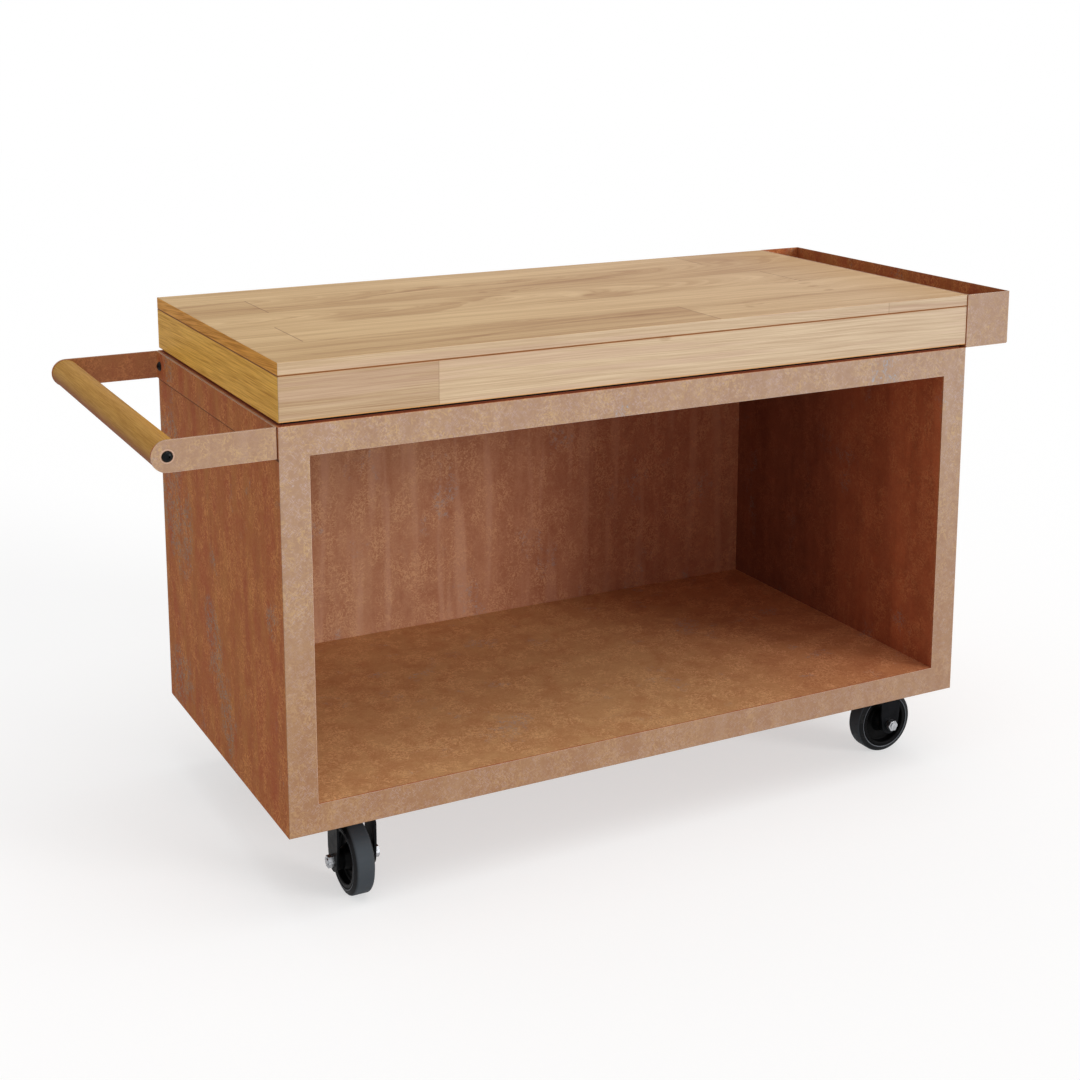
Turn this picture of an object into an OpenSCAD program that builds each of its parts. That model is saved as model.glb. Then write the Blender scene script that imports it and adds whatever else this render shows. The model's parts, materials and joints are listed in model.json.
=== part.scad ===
// Prep table on casters. A welded weathering steel cabinet with an open bay carries
// a wooden worktop, a wooden push handle on its left and a steel planter on its right.
// Millimetres, +Z up, front towards -Y. The origin lies on the floor, under the middle
// of the whole table from the handle to the planter.

/* [Cabinet] */
// Length of the steel cabinet, left to right
cabinet_l = 1350; // [1000:10:1800]
// Depth of the cabinet, front to back
cabinet_d = 675; // [560:5:900]
// Height of the cabinet, without its casters
cabinet_h = 675; // [400:5:850]
// Thickness of the steel sheet
sheet_t = 3; // [2:0.5:4]
// Width of the front frame, and of the hollow walls behind it
wall_w = 50; // [40:1:80]
// Rounding of the front frame's outer edges
frame_edge_r = 1.5; // [0.5:0.25:1.75]

/* [Worktop] */
// Height of the shadow gap between steel and wood
shadow_gap = 6; // [4:0.5:12]
// Height of the apron boards
apron_h = 73.5; // [55:0.5:100]
// Thickness of the apron boards
apron_t = 40; // [32:1:60]
// Thickness of the top board
board_t = 20.5; // [16:0.5:30]
// Inset of the wood from the cabinet's left, front and back
wood_inset = 2; // [0:0.5:5]
// Rounding of the wood's outer edges
wood_edge_r = 1.5; // [0.5:0.25:4]
// Height of the fine groove under the top board
groove_h = 1.2; // [0.6:0.1:3]
// Depth of that groove
groove_depth = 2; // [1:0.5:5]
// Number of cross battens under the top board
batten_count = 3; // [2:1:6]
// Width of a cross batten
batten_w = 60; // [40:5:90]
// Height of a cross batten
batten_h = 45; // [30:1:54]
// Width of the rubber strip between the deck and the aprons
strip_w = 24; // [16:1:30]

/* [Screws] */
// Shank diameter of the wood screws
wood_screw_d = 6; // [5:0.5:8]
// Head diameter of the wood screws
wood_screw_head_d = 12; // [10:0.5:14]
// Head height of the wood screws
wood_screw_head_h = 4; // [3:0.25:5]
// Number of worktop screws along the front, and along the back
worktop_screw_count = 4; // [2:1:6]
// Distance of the outermost worktop screws from the cabinet's ends
worktop_screw_inset = 110; // [100:5:160]
// Length of the worktop screws under their heads
worktop_screw_l = 50; // [35:5:60]
// Length of the planter screws under their heads
planter_screw_l = 30; // [20:5:35]
// Diameter of the driver holes in the bay's ceiling
driver_hole_d = 16; // [15:1:20]

/* [Handle] */
// Distance of the handle's axis from the cabinet
handle_out = 171; // [100:1:220]
// Height of the flat bar that the bracket is bent from
bar_h = 50; // [40:1:60]
// Thickness of the flat bar
bar_t = 4; // [3:0.5:6]
// Inner radius of the bracket's bends
bend_r = 1; // [0.5:0.5:6]
// Inset of the bracket's arms from the cabinet's front and back
bracket_inset = 2; // [0:0.5:20]
// Diameter of the wooden handle
dowel_d = 48; // [30:1:50]
// Shank diameter of the handle's screws and bolts
handle_bolt_d = 10; // [8:1:12]
// Diameter of their button heads
button_d = 17.5; // [16:0.5:21]
// Height of their button heads
button_h = 5.5; // [4:0.5:7]
// Width across flats of their hexagon sockets
socket_af = 6; // [4:1:7]
// Length of the screws in the handle's ends
dowel_screw_l = 50; // [30:5:80]
// Length of the bracket's bolts
bracket_bolt_l = 18; // [16:1:30]
// Distance of the bracket's bolts from the bracket's ends
bracket_bolt_inset = 25; // [20:1:80]
// Width across flats of the weld nuts behind the side panel
weld_nut_af = 17; // [15:1:22]
// Height of the weld nuts
weld_nut_h = 8; // [6:0.5:10]

/* [Planter] */
// Width of the planter
planter_w = 100; // [70:5:200]
// Height of the planter
planter_h = 100; // [85:5:200]
// Thickness of the planter's sheet
planter_t = 2; // [1.5:0.5:3]
// Inner radius of the planter channel's two bends
planter_bend_r = 1; // [0.5:0.5:8]
// Number of drain holes
drain_count = 5; // [1:1:9]
// Diameter of the drain holes
drain_d = 8; // [5:1:12]
// Number of screws that hold the planter
planter_screw_count = 4; // [2:1:6]

/* [Caster plates] */
// Distance of the swivel axes from the cabinet's ends
caster_inset_x = 130; // [110:1:250]
// Distance of the swivel axes from the cabinet's front and back
caster_inset_y = 110; // [110:1:180]
// Length of the top plate
plate_l = 105; // [100:1:120]
// Width of the top plate
plate_w = 85; // [80:1:100]
// Thickness of the top plate
plate_t = 4; // [3:0.5:6]
// Distance between the bolts along the plate
plate_bolts_l = 80; // [80:1:86]
// Distance between the bolts across the plate
plate_bolts_w = 60; // [58:1:64]
// Thickness of the tapped plates inside the cabinet
backing_t = 8; // [6:1:12]
// Shank diameter of the caster bolts
caster_bolt_d = 8; // [6:1:8]
// Width across flats of the caster bolts
caster_bolt_af = 13; // [10:1:13]
// Height of the caster bolts' heads
caster_bolt_head_h = 5.3; // [4:0.1:6]
// Length of the caster bolts that stands out of the tapped plates
caster_bolt_end = 1; // [0:0.5:4]

/* [Swivel head] */
// Diameter of the kingpin
kingpin_d = 12; // [10:1:14]
// Diameter of the kingpin's two heads
kingpin_head_d = 20; // [18:1:24]
// Height of the kingpin's lower head
kingpin_head_h = 5; // [3:0.5:6]
// Number of balls in the ring
ball_count = 14; // [8:1:16]
// Diameter of the balls
ball_d = 8; // [6:0.5:9]
// Radius of the ball ring
ball_ring_r = 24; // [22:0.5:25]
// Height of each ball track
track_h = 6; // [5:0.5:8]
// Gap between the two ball tracks
track_gap = 2; // [1.5:0.25:3]
// Outer radius of the upper ball track
track_r = 31; // [30:0.5:32]
// Gap between the upper track and the dust lip round it
lip_gap = 1; // [0.5:0.25:1.5]
// Thickness of the dust lip
lip_t = 2.5; // [1.5:0.5:3]

/* [Fork] */
// Thickness of the fork's steel
fork_t = 4; // [3:0.5:5]
// Inner radius of the fork's bends
fork_bend_r = 3; // [1:0.5:5]
// Width of a fork leg
leg_w = 44; // [40:1:50]
// Radius of a fork leg's lower end
leg_end_r = 19; // [16:0.5:20]
// Height above the axle at which a leg's back edge starts to taper
taper_back_h = 19; // [14:1:30]
// Height above the axle at which a leg's front edge starts to taper
taper_front_h = 27; // [14:1:34]
// Distance of the wheel's axle from the swivel axis
trail = 47; // [40:1:47]
// Radius of the crown under the swivel head
crown_r = 37; // [36:0.5:40]
// Radius of the leg's upper front corner
shoulder_r = 12; // [8:1:16]
// Height of the gusset between crown and legs
gusset_h = 20; // [10:1:24]
// Gap between the tyre and the fork's crown
wheel_gap = 3; // [2:0.5:10]

/* [Wheel] */
// Diameter of the wheel over its tyre
wheel_d = 125; // [110:1:128]
// Width of the tyre at its sides
tyre_w = 38; // [32:1:44]
// Width of the tread's flat
tread_w = 27; // [20:1:30]
// Diameter of the core that carries the tyre
core_d = 101; // [96:1:104]
// Radial thickness of the core's rim
rim_t = 7; // [5:0.5:9]
// Inset of the rim's sides from the tyre's sides
rim_inset = 1; // [0.5:0.5:3]
// Easing of the moulded core's corners
core_ease = 1.5; // [0.5:0.25:2]
// Easing of the tyre's corners
tyre_ease = 1; // [0.5:0.25:1.5]
// Thickness of the core's web
web_t = 10; // [8:1:14]
// Length of the hub
hub_l = 61.4; // [54:0.1:66]
// Diameter of the hub at its ends
hub_d = 34; // [28:1:36]
// Diameter of the hub at the web
hub_root_d = 46; // [42:1:52]
// Diameter of the axle bolt
axle_d = 12; // [10:1:12]
// Width across flats of the axle bolt and its nut
axle_af = 19; // [19:1:22]
// Height of the axle bolt's head and nut
axle_head_h = 10; // [6:0.5:11]
// Length of the axle bolt that stands out of its nut
axle_end = 1.5; // [0.5:0.25:3]
// Diameter of the sleeve that the wheel turns on
sleeve_d = 16; // [15:0.5:18]

/* [Hidden] */
// Radial clearance of a running fit
run_clear = 0.05;
// Radial clearance of a shank in its pilot hole or nut
thread_clear = 0.05;
// Radial clearance of a bolt in a plain hole
hole_clear = 0.25;
// Gap between faces that pass each other
face_clear = 0.3;
// Radial clearance between the balls and their tracks
track_clear = 0.1;
// How far a cutting tool runs past the face that it cuts
over = 1;

// The whole table
table_l = handle_out + bar_h / 2 + cabinet_l + planter_w;
caster_h = wheel_d + wheel_gap + fork_t + 2 * track_h + track_gap + plate_t;

// The cabinet's outer faces
cab_x0 = -table_l / 2 + handle_out + bar_h / 2;
cab_x1 = cab_x0 + cabinet_l;
cab_y0 = -cabinet_d / 2;
cab_y1 = cabinet_d / 2;
cab_z0 = caster_h;
cab_z1 = cab_z0 + cabinet_h;
inner_l = cabinet_l - 2 * sheet_t;
inner_d = cabinet_d - 2 * sheet_t;
bay_l = cabinet_l - 2 * wall_w;
bay_h = cabinet_h - 2 * wall_w;

// The wood
wood_x0 = cab_x0 + wood_inset;
wood_x1 = cab_x1;
wood_y0 = cab_y0 + wood_inset;
wood_y1 = cab_y1 - wood_inset;
wood_l = wood_x1 - wood_x0;
wood_d = wood_y1 - wood_y0;
apron_z = cab_z1 + shadow_gap;
board_z = apron_z + apron_h;
wood_top = board_z + board_t;
worktop_screw_y = wood_y1 - apron_t / 2;
worktop_screw_step = (cabinet_l - 2 * worktop_screw_inset) / (worktop_screw_count - 1);
WORKTOP_SCREW_X = [for (i = [0:worktop_screw_count - 1])
    cab_x0 + worktop_screw_inset + i * worktop_screw_step];

// The handle
dowel_x = cab_x0 - handle_out;
bar_z = cab_z1 - bar_h / 2;
arm_y = cabinet_d / 2 - bracket_inset;
bracket_bolt_y = arm_y - bracket_bolt_inset;

// The planter
planter_z = wood_top - planter_h;
planter_screw_z = apron_z + apron_h / 2;
planter_screw_step = cabinet_d / planter_screw_count;
PLANTER_SCREW_Y = [for (i = [0:planter_screw_count - 1]) cab_y0 + (i + 0.5) * planter_screw_step];

// The casters: name, side, end and the heading of the trailing wheel
CASTERS = [
    ["front_left", -1, -1, -90],
    ["front_right", 1, -1, 0],
    ["rear_left", -1, 1, 0],
    ["rear_right", 1, 1, -90]
];
cab_mid_x = (cab_x0 + cab_x1) / 2;
swivel_x = cabinet_l / 2 - caster_inset_x;
swivel_y = cabinet_d / 2 - caster_inset_y;
axle_z = wheel_d / 2;
plate_z = caster_h - plate_t;
upper_track_z = plate_z - track_h;
ball_z = upper_track_z - track_gap / 2;
crown_top = upper_track_z - track_gap - track_h;
crown_z = crown_top - fork_t;
lip_r = track_r + lip_gap;
leg_in = hub_l / 2 + face_clear;
leg_out = leg_in + fork_t;

STEEL = "#a5684a";
WOOD = "#c9a06c";
BLACK = "#1c1e21";
ZINC = "#b9bcbf";
RUBBER = "#2c2e31";
FINE = 96;
SMALL = 48;

// A box given by its lowest corner and its size
module block(corner, size) {
    translate(corner) cube(size);
}

// A rectangle with round corners, from its lowest corner
module round_rect(l, w, r) {
    translate([r, 0]) square([l - 2 * r, w]);
    translate([0, r]) square([l, w - 2 * r]);
    for (x = [r, l - r], y = [r, w - r])
        translate([x, y]) circle(r = r, $fn = SMALL);
}

// A round hole or shank along X, starting at the given point
module rod_x(point, d, l) {
    translate(point) rotate([0, 90, 0]) cylinder(d = d, h = l, $fn = SMALL);
}

// A hexagonal prism along Z
module hexagon(af, h) {
    cylinder(d = af / cos(30), h = h, $fn = 6);
}

// A domed button head with a hexagon socket and its shank, the shank pointing down
module button_screw(l) {
    dome_end = 68;
    dome = [for (a = [0:dome_end / 8:dome_end])
        [button_d / 2 * cos(a), button_h * sin(a) / sin(dome_end)]];
    difference() {
        rotate_extrude($fn = SMALL) polygon(concat([[0, 0]], dome, [[0, button_h]]));
        translate([0, 0, button_h / 2]) hexagon(socket_af, button_h);
    }
    translate([0, 0, -l]) cylinder(d = handle_bolt_d, h = l, $fn = SMALL);
}

// A pan head wood screw, its shank pointing down
module wood_screw(l) {
    pan_r = 1.5;
    rotate_extrude($fn = SMALL) polygon([
        [0, 0], [wood_screw_head_d / 2, 0],
        [wood_screw_head_d / 2, wood_screw_head_h - pan_r],
        [wood_screw_head_d / 2 - pan_r, wood_screw_head_h], [0, wood_screw_head_h]
    ]);
    tip_h = wood_screw_d;
    translate([0, 0, -(l - tip_h)]) cylinder(d = wood_screw_d, h = l - tip_h, $fn = SMALL);
    translate([0, 0, -l]) cylinder(d1 = 1, d2 = wood_screw_d, h = tip_h, $fn = SMALL);
}

// CABINET

// The front plate with the bay's opening, its outer edges rounded
module front_frame() {
    r = frame_edge_r;
    color(STEEL) difference() {
        intersection() {
            block([cab_x0, cab_y0, cab_z0], [cabinet_l, sheet_t, cabinet_h]);
            translate([cab_x0, cab_y0, cab_z0])
                linear_extrude(cabinet_h) round_rect(cabinet_l, sheet_t + r, r);
            translate([cab_x0, cab_y0, cab_z0]) rotate([90, 0, 90])
                linear_extrude(cabinet_l) round_rect(sheet_t + r, cabinet_h, r);
        }
        block([cab_x0 + wall_w, cab_y0 - over, cab_z0 + wall_w],
              [bay_l, sheet_t + 2 * over, bay_h]);
    }
}

module side_panel(x) {
    block([x, cab_y0 + sheet_t, cab_z0], [sheet_t, inner_d, cabinet_h]);
}

// The left panel, drilled for the handle's bolts
module left_side_panel() {
    color(STEEL) difference() {
        side_panel(cab_x0);
        for (side = [-1, 1])
            rod_x([cab_x0 - over, side * bracket_bolt_y, bar_z],
                  handle_bolt_d + 2 * hole_clear, sheet_t + 2 * over);
    }
}

module right_side_panel() {
    color(STEEL) side_panel(cab_x1 - sheet_t);
}

module back_panel() {
    color(STEEL) block([cab_x0, cab_y1 - sheet_t, cab_z0], [cabinet_l, sheet_t, cabinet_h]);
}

// An upright rod at each place of a worktop screw, to cut its hole
module screw_rods(z, d, h) {
    for (x = WORKTOP_SCREW_X, side = [-1, 1])
        translate([x, side * worktop_screw_y, z]) cylinder(d = d, h = h, $fn = SMALL);
}

module top_deck() {
    z = cab_z1 - sheet_t;
    color(STEEL) difference() {
        block([cab_x0 + sheet_t, cab_y0 + sheet_t, z], [inner_l, inner_d, sheet_t]);
        screw_rods(z - over, wood_screw_d + 2 * hole_clear, sheet_t + 2 * over);
    }
}

module base_pan() {
    color(STEEL) difference() {
        block([cab_x0 + sheet_t, cab_y0 + sheet_t, cab_z0], [inner_l, inner_d, sheet_t]);
        for (c = CASTERS) at_swivel(c)
            plate_holes(cab_z0 - over, caster_bolt_d + 2 * hole_clear, sheet_t + 2 * over);
    }
}

// Floor and ceiling of the bay reach over the bay's side walls
module bay_sheet(z) {
    block([cab_x0 + wall_w - sheet_t, cab_y0 + sheet_t, z],
          [bay_l + 2 * sheet_t, inner_d, sheet_t]);
}

module bay_floor() {
    color(STEEL) bay_sheet(cab_z0 + wall_w - sheet_t);
}

// The ceiling lets a driver through to the screws of the worktop
module bay_ceiling() {
    z = cab_z1 - wall_w;
    color(STEEL) difference() {
        bay_sheet(z);
        screw_rods(z - over, driver_hole_d, sheet_t + 2 * over);
    }
}

module bay_wall(x) {
    block([x, cab_y0 + sheet_t, cab_z0 + wall_w], [sheet_t, inner_d, bay_h]);
}

module bay_left_wall() {
    color(STEEL) bay_wall(cab_x0 + wall_w - sheet_t);
}

module bay_right_wall() {
    color(STEEL) bay_wall(cab_x1 - wall_w);
}

// Tapped plates, welded on the base pan over the casters
module caster_backing_plates() {
    z = cab_z0 + sheet_t;
    color(STEEL) for (c = CASTERS) at_swivel(c) difference() {
        block([-plate_l / 2, -plate_w / 2, z], [plate_l, plate_w, backing_t]);
        plate_holes(z - over, caster_bolt_d + 2 * thread_clear, backing_t + 2 * over);
    }
}

// WORKTOP

// A slab from its lowest corner, with its upright and upper edges rounded
module eased_slab(l, w, h, r) {
    intersection() {
        linear_extrude(h) round_rect(l, w, r);
        translate([0, 0, -r]) rotate([90, 0, 90]) linear_extrude(l) round_rect(w, h + r, r);
        translate([0, w, -r]) rotate([90, 0, 0]) linear_extrude(w) round_rect(l, h + r, r);
    }
}

module worktop_board() {
    color(WOOD) translate([wood_x0, wood_y0, board_z])
        eased_slab(wood_l, wood_d, board_t, wood_edge_r);
}

// The space that the aprons fill, with the groove round its upper edge
module apron_envelope() {
    translate([wood_x0, wood_y0, apron_z]) {
        linear_extrude(apron_h - groove_h) round_rect(wood_l, wood_d, wood_edge_r);
        translate([groove_depth, groove_depth, 0]) linear_extrude(apron_h)
            square([wood_l - 2 * groove_depth, wood_d - 2 * groove_depth]);
    }
}

// A board of the given plan, mitred where two aprons meet
module apron(plan) {
    intersection() {
        translate([0, 0, apron_z]) linear_extrude(apron_h) polygon(plan);
        apron_envelope();
    }
}

// The front or back apron: y is its outer face and s points inwards
module long_apron(y, s) {
    difference() {
        apron([
            [wood_x0, y], [wood_x1, y],
            [wood_x1 - apron_t, y + s * apron_t], [wood_x0 + apron_t, y + s * apron_t]
        ]);
        screw_rods(apron_z - over, wood_screw_d + 2 * thread_clear,
                   over + worktop_screw_l - sheet_t - shadow_gap + over);
    }
}

// The left or right apron: x is its outer face and s points inwards
module short_apron(x, s) {
    apron([
        [x, wood_y0], [x, wood_y1],
        [x + s * apron_t, wood_y1 - apron_t], [x + s * apron_t, wood_y0 + apron_t]
    ]);
}

module apron_front() {
    color(WOOD) long_apron(wood_y0, 1);
}

module apron_back() {
    color(WOOD) long_apron(wood_y1, -1);
}

module apron_left() {
    color(WOOD) short_apron(wood_x0, 1);
}

// The right apron holds the planter's screws
module apron_right() {
    pilot_l = planter_screw_l - planter_t + over;
    color(WOOD) difference() {
        short_apron(wood_x1, -1);
        for (y = PLANTER_SCREW_Y)
            rod_x([wood_x1 - pilot_l, y, planter_screw_z],
                  wood_screw_d + 2 * thread_clear, pilot_l + over);
    }
}

// Battens from apron to apron, glued under the board
module worktop_battens() {
    step = wood_l / (batten_count + 1);
    color(WOOD) for (i = [1:batten_count])
        block([wood_x0 + i * step - batten_w / 2, wood_y0 + apron_t, board_z - batten_h],
              [batten_w, wood_d - 2 * apron_t, batten_h]);
}

// A rubber strip right round, under the middle of the aprons, drilled for the screws
module worktop_strip() {
    inset = (apron_t - strip_w) / 2;
    color(BLACK) difference() {
        block([wood_x0 + inset, wood_y0 + inset, cab_z1],
              [wood_l - 2 * inset, wood_d - 2 * inset, shadow_gap]);
        block([wood_x0 + inset + strip_w, wood_y0 + inset + strip_w, cab_z1 - over],
              [wood_l - 2 * (inset + strip_w), wood_d - 2 * (inset + strip_w),
               shadow_gap + 2 * over]);
        screw_rods(cab_z1 - over, wood_screw_d + 2 * hole_clear, shadow_gap + 2 * over);
    }
}

module worktop_screws() {
    color(ZINC) for (x = WORKTOP_SCREW_X, side = [-1, 1])
        translate([x, side * worktop_screw_y, cab_z1 - sheet_t]) rotate([180, 0, 0])
            wood_screw(worktop_screw_l);
}

// HANDLE

// The bracket seen from above: base, two bends and two arms
module bracket_plan() {
    outer_r = bend_r + bar_t;
    translate([cab_x0 - bar_t, -arm_y + outer_r]) square([bar_t, 2 * (arm_y - outer_r)]);
    for (side = [-1, 1]) {
        translate([cab_x0 - outer_r, side * (arm_y - outer_r)]) intersection() {
            difference() {
                circle(r = outer_r, $fn = SMALL);
                circle(r = bend_r, $fn = SMALL);
            }
            translate([0, side < 0 ? -outer_r : 0]) square(outer_r);
        }
        translate([dowel_x - bar_h, side < 0 ? -arm_y : arm_y - bar_t])
            square([cab_x0 - outer_r - dowel_x + bar_h, bar_t]);
    }
}

// The bracket seen from the front: the arms end in a half circle round the dowel
module bracket_side() {
    translate([dowel_x, bar_z]) circle(d = bar_h, $fn = FINE);
    translate([dowel_x, bar_z - bar_h / 2]) square([cab_x0 - dowel_x, bar_h]);
}

module handle_bracket() {
    hole_d = handle_bolt_d + 2 * hole_clear;
    color(STEEL) difference() {
        intersection() {
            translate([0, 0, bar_z - bar_h / 2]) linear_extrude(bar_h) bracket_plan();
            translate([0, arm_y, 0]) rotate([90, 0, 0]) linear_extrude(2 * arm_y) bracket_side();
        }
        translate([dowel_x, arm_y + over, bar_z]) rotate([90, 0, 0])
            cylinder(d = hole_d, h = 2 * (arm_y + over), $fn = SMALL);
        for (side = [-1, 1])
            rod_x([cab_x0 - bar_t - over, side * bracket_bolt_y, bar_z],
                  hole_d, bar_t + 2 * over);
    }
}

// The dowel between the arms, with eased ends and a pilot hole in each
module handle_dowel() {
    ease = 1;
    half_l = arm_y - bar_t;
    pilot_l = dowel_screw_l - bar_t + over;
    color(WOOD) translate([dowel_x, 0, bar_z]) rotate([90, 0, 0]) difference() {
        rotate_extrude($fn = FINE) polygon([
            [0, -half_l], [dowel_d / 2 - ease, -half_l], [dowel_d / 2, -half_l + ease],
            [dowel_d / 2, half_l - ease], [dowel_d / 2 - ease, half_l], [0, half_l]
        ]);
        for (side = [-1, 1])
            translate([0, 0, side * (half_l + over - (pilot_l + over) / 2)])
                cylinder(d = handle_bolt_d + 2 * thread_clear, h = pilot_l + over,
                         center = true, $fn = SMALL);
    }
}

module handle_dowel_screws() {
    color(BLACK) for (side = [-1, 1])
        translate([dowel_x, side * arm_y, bar_z]) rotate([side < 0 ? 90 : -90, 0, 0])
            button_screw(dowel_screw_l);
}

module handle_bracket_bolts() {
    color(BLACK) for (side = [-1, 1])
        translate([cab_x0 - bar_t, side * bracket_bolt_y, bar_z]) rotate([0, -90, 0])
            button_screw(bracket_bolt_l);
}

// Weld nuts on the inner face of the left panel
module handle_weld_nuts() {
    color(ZINC) for (side = [-1, 1])
        translate([cab_x0 + sheet_t, side * bracket_bolt_y, bar_z]) rotate([0, 90, 0])
            difference() {
                hexagon(weld_nut_af, weld_nut_h);
                translate([0, 0, -over])
                    cylinder(d = handle_bolt_d + 2 * thread_clear,
                             h = weld_nut_h + 2 * over, $fn = SMALL);
            }
}

// PLANTER

// A rectangle whose two lower corners are rounded
module folded_rect(l, h, r) {
    translate([r, 0]) square([l - 2 * r, h]);
    translate([0, r]) square([l, h - r]);
    for (x = [r, l - r])
        translate([x, r]) circle(r = r, $fn = SMALL);
}

// The planter's channel, folded from sheet: its floor and both long walls
module planter_trough() {
    t = planter_t;
    drain_step = cabinet_d / drain_count;
    color(STEEL) translate([cab_x1, 0, planter_z]) difference() {
        rotate([90, 0, 0]) linear_extrude(cabinet_d - 2 * t, center = true) difference() {
            folded_rect(planter_w, planter_h, planter_bend_r + t);
            translate([t, t]) folded_rect(planter_w - 2 * t, planter_h, planter_bend_r);
        }
        for (i = [0:drain_count - 1])
            translate([planter_w / 2, cab_y0 + (i + 0.5) * drain_step, -over])
                cylinder(d = drain_d, h = t + 2 * over, $fn = SMALL);
        for (y = PLANTER_SCREW_Y)
            rod_x([-over, y, planter_screw_z - planter_z],
                  wood_screw_d + 2 * hole_clear, t + 2 * over);
    }
}

// The plates welded on the channel's ends, flush with the cabinet's front and back
module planter_end_plates() {
    color(STEEL) for (y = [cab_y0 + planter_t, cab_y1])
        translate([cab_x1, y, planter_z]) rotate([90, 0, 0]) linear_extrude(planter_t)
            folded_rect(planter_w, planter_h, planter_bend_r + planter_t);
}

module planter_screws() {
    color(BLACK) for (y = PLANTER_SCREW_Y)
        translate([cab_x1 + planter_t, y, planter_screw_z]) rotate([0, 90, 0])
            wood_screw(planter_screw_l);
}

// CASTERS

// Moves its children to a caster's swivel axis, without turning them
module at_swivel(c) {
    translate([cab_mid_x + c[1] * swivel_x, c[2] * swivel_y, 0]) children();
}

// Moves and turns its children to a caster whose wheel trails towards +X
module at_heading(c) {
    at_swivel(c) rotate([0, 0, c[3]]) children();
}

// The same, with the wheel's axle as the Z axis
module at_axle(c) {
    at_heading(c) translate([trail, 0, axle_z]) rotate([90, 0, 0]) children();
}

module plate_holes(z, d, h) {
    for (x = [-1, 1], y = [-1, 1])
        translate([x * plate_bolts_l / 2, y * plate_bolts_w / 2, z])
            cylinder(d = d, h = h, $fn = SMALL);
}

// The groove that the ball ring runs in
module ball_groove() {
    translate([0, 0, ball_z]) rotate_extrude($fn = FINE)
        translate([ball_ring_r, 0]) circle(d = ball_d + 2 * track_clear, $fn = SMALL);
}

// A ring round the swivel axis, or a disc where its inner radius is 0
module ring(z, inner_r, outer_r, h) {
    translate([0, 0, z]) difference() {
        cylinder(r = outer_r, h = h, $fn = FINE);
        if (inner_r > 0)
            translate([0, 0, -over]) cylinder(r = inner_r, h = h + 2 * over, $fn = FINE);
    }
}

// The top plate with round corners, the upper ball track under it
module caster_plate(c) {
    corner_r = 6;
    track_in_r = 2 * ball_ring_r - track_r;
    color(BLACK) at_swivel(c) difference() {
        union() {
            translate([-plate_l / 2, -plate_w / 2, plate_z])
                linear_extrude(plate_t) round_rect(plate_l, plate_w, corner_r);
            ring(upper_track_z, track_in_r, track_r, track_h);
        }
        ball_groove();
        plate_holes(plate_z - over, caster_bolt_d + 2 * hole_clear, plate_t + 2 * over);
        translate([0, 0, plate_z - over])
            cylinder(d = kingpin_d + 2 * hole_clear, h = plate_t + 2 * over, $fn = SMALL);
        translate([0, 0, plate_z])
            cylinder(d1 = kingpin_d + 2 * hole_clear, d2 = kingpin_head_d + 2 * hole_clear,
                     h = plate_t, $fn = SMALL);
    }
}

// Balls in their ring
module caster_balls(c) {
    color(ZINC) at_heading(c) for (i = [0:ball_count - 1])
        rotate([0, 0, i * 360 / ball_count]) translate([ball_ring_r, 0, ball_z])
            sphere(d = ball_d, $fn = SMALL);
}

// Riveted pins, countersunk in the top plates, with a round head under each crown
module caster_kingpins() {
    top = caster_h;
    low = crown_z - face_clear;
    r = kingpin_d / 2;
    head_r = kingpin_head_d / 2;
    dome_r = 2;
    color(ZINC) for (c = CASTERS) at_swivel(c) rotate_extrude($fn = SMALL) polygon([
        [0, low - kingpin_head_h], [head_r - dome_r, low - kingpin_head_h],
        [head_r, low - kingpin_head_h + dome_r], [head_r, low],
        [r, low], [r, top - plate_t], [head_r, top], [0, top]
    ]);
}

// Hexagon bolts, up through plate and pan into the tapped plates
module caster_bolts() {
    grip = plate_t + sheet_t + backing_t + caster_bolt_end;
    color(ZINC) for (c = CASTERS) at_swivel(c) for (x = [-1, 1], y = [-1, 1])
        translate([x * plate_bolts_l / 2, y * plate_bolts_w / 2, plate_z]) {
            translate([0, 0, -caster_bolt_head_h]) hexagon(caster_bolt_af, caster_bolt_head_h);
            cylinder(d = caster_bolt_d, h = grip, $fn = SMALL);
        }
}

// The point where a line from p touches a circle round c, on side s
function touch(p, c, r, s) =
    let (v = c - p, d = norm(v), a = atan2(v[1], v[0]) + s * asin(r / d))
    p + sqrt(d * d - r * r) * [cos(a), sin(a)];

// The fork's cross-section: crown and two legs with round bends
module fork_section() {
    outer_r = fork_bend_r + fork_t;
    difference() {
        union() {
            translate([-leg_out, 0]) square([2 * leg_out, crown_top - outer_r]);
            translate([-leg_out + outer_r, 0]) square([2 * (leg_out - outer_r), crown_top]);
            for (side = [-1, 1])
                translate([side * (leg_out - outer_r), crown_top - outer_r])
                    circle(r = outer_r, $fn = SMALL);
        }
        translate([-leg_in, -over]) square([2 * leg_in, crown_z - fork_bend_r + over]);
        translate([-leg_in + fork_bend_r, -over])
            square([2 * (leg_in - fork_bend_r), crown_z + over]);
        for (side = [-1, 1])
            translate([side * (leg_in - fork_bend_r), crown_z - fork_bend_r])
                circle(r = fork_bend_r, $fn = SMALL);
    }
}

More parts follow.
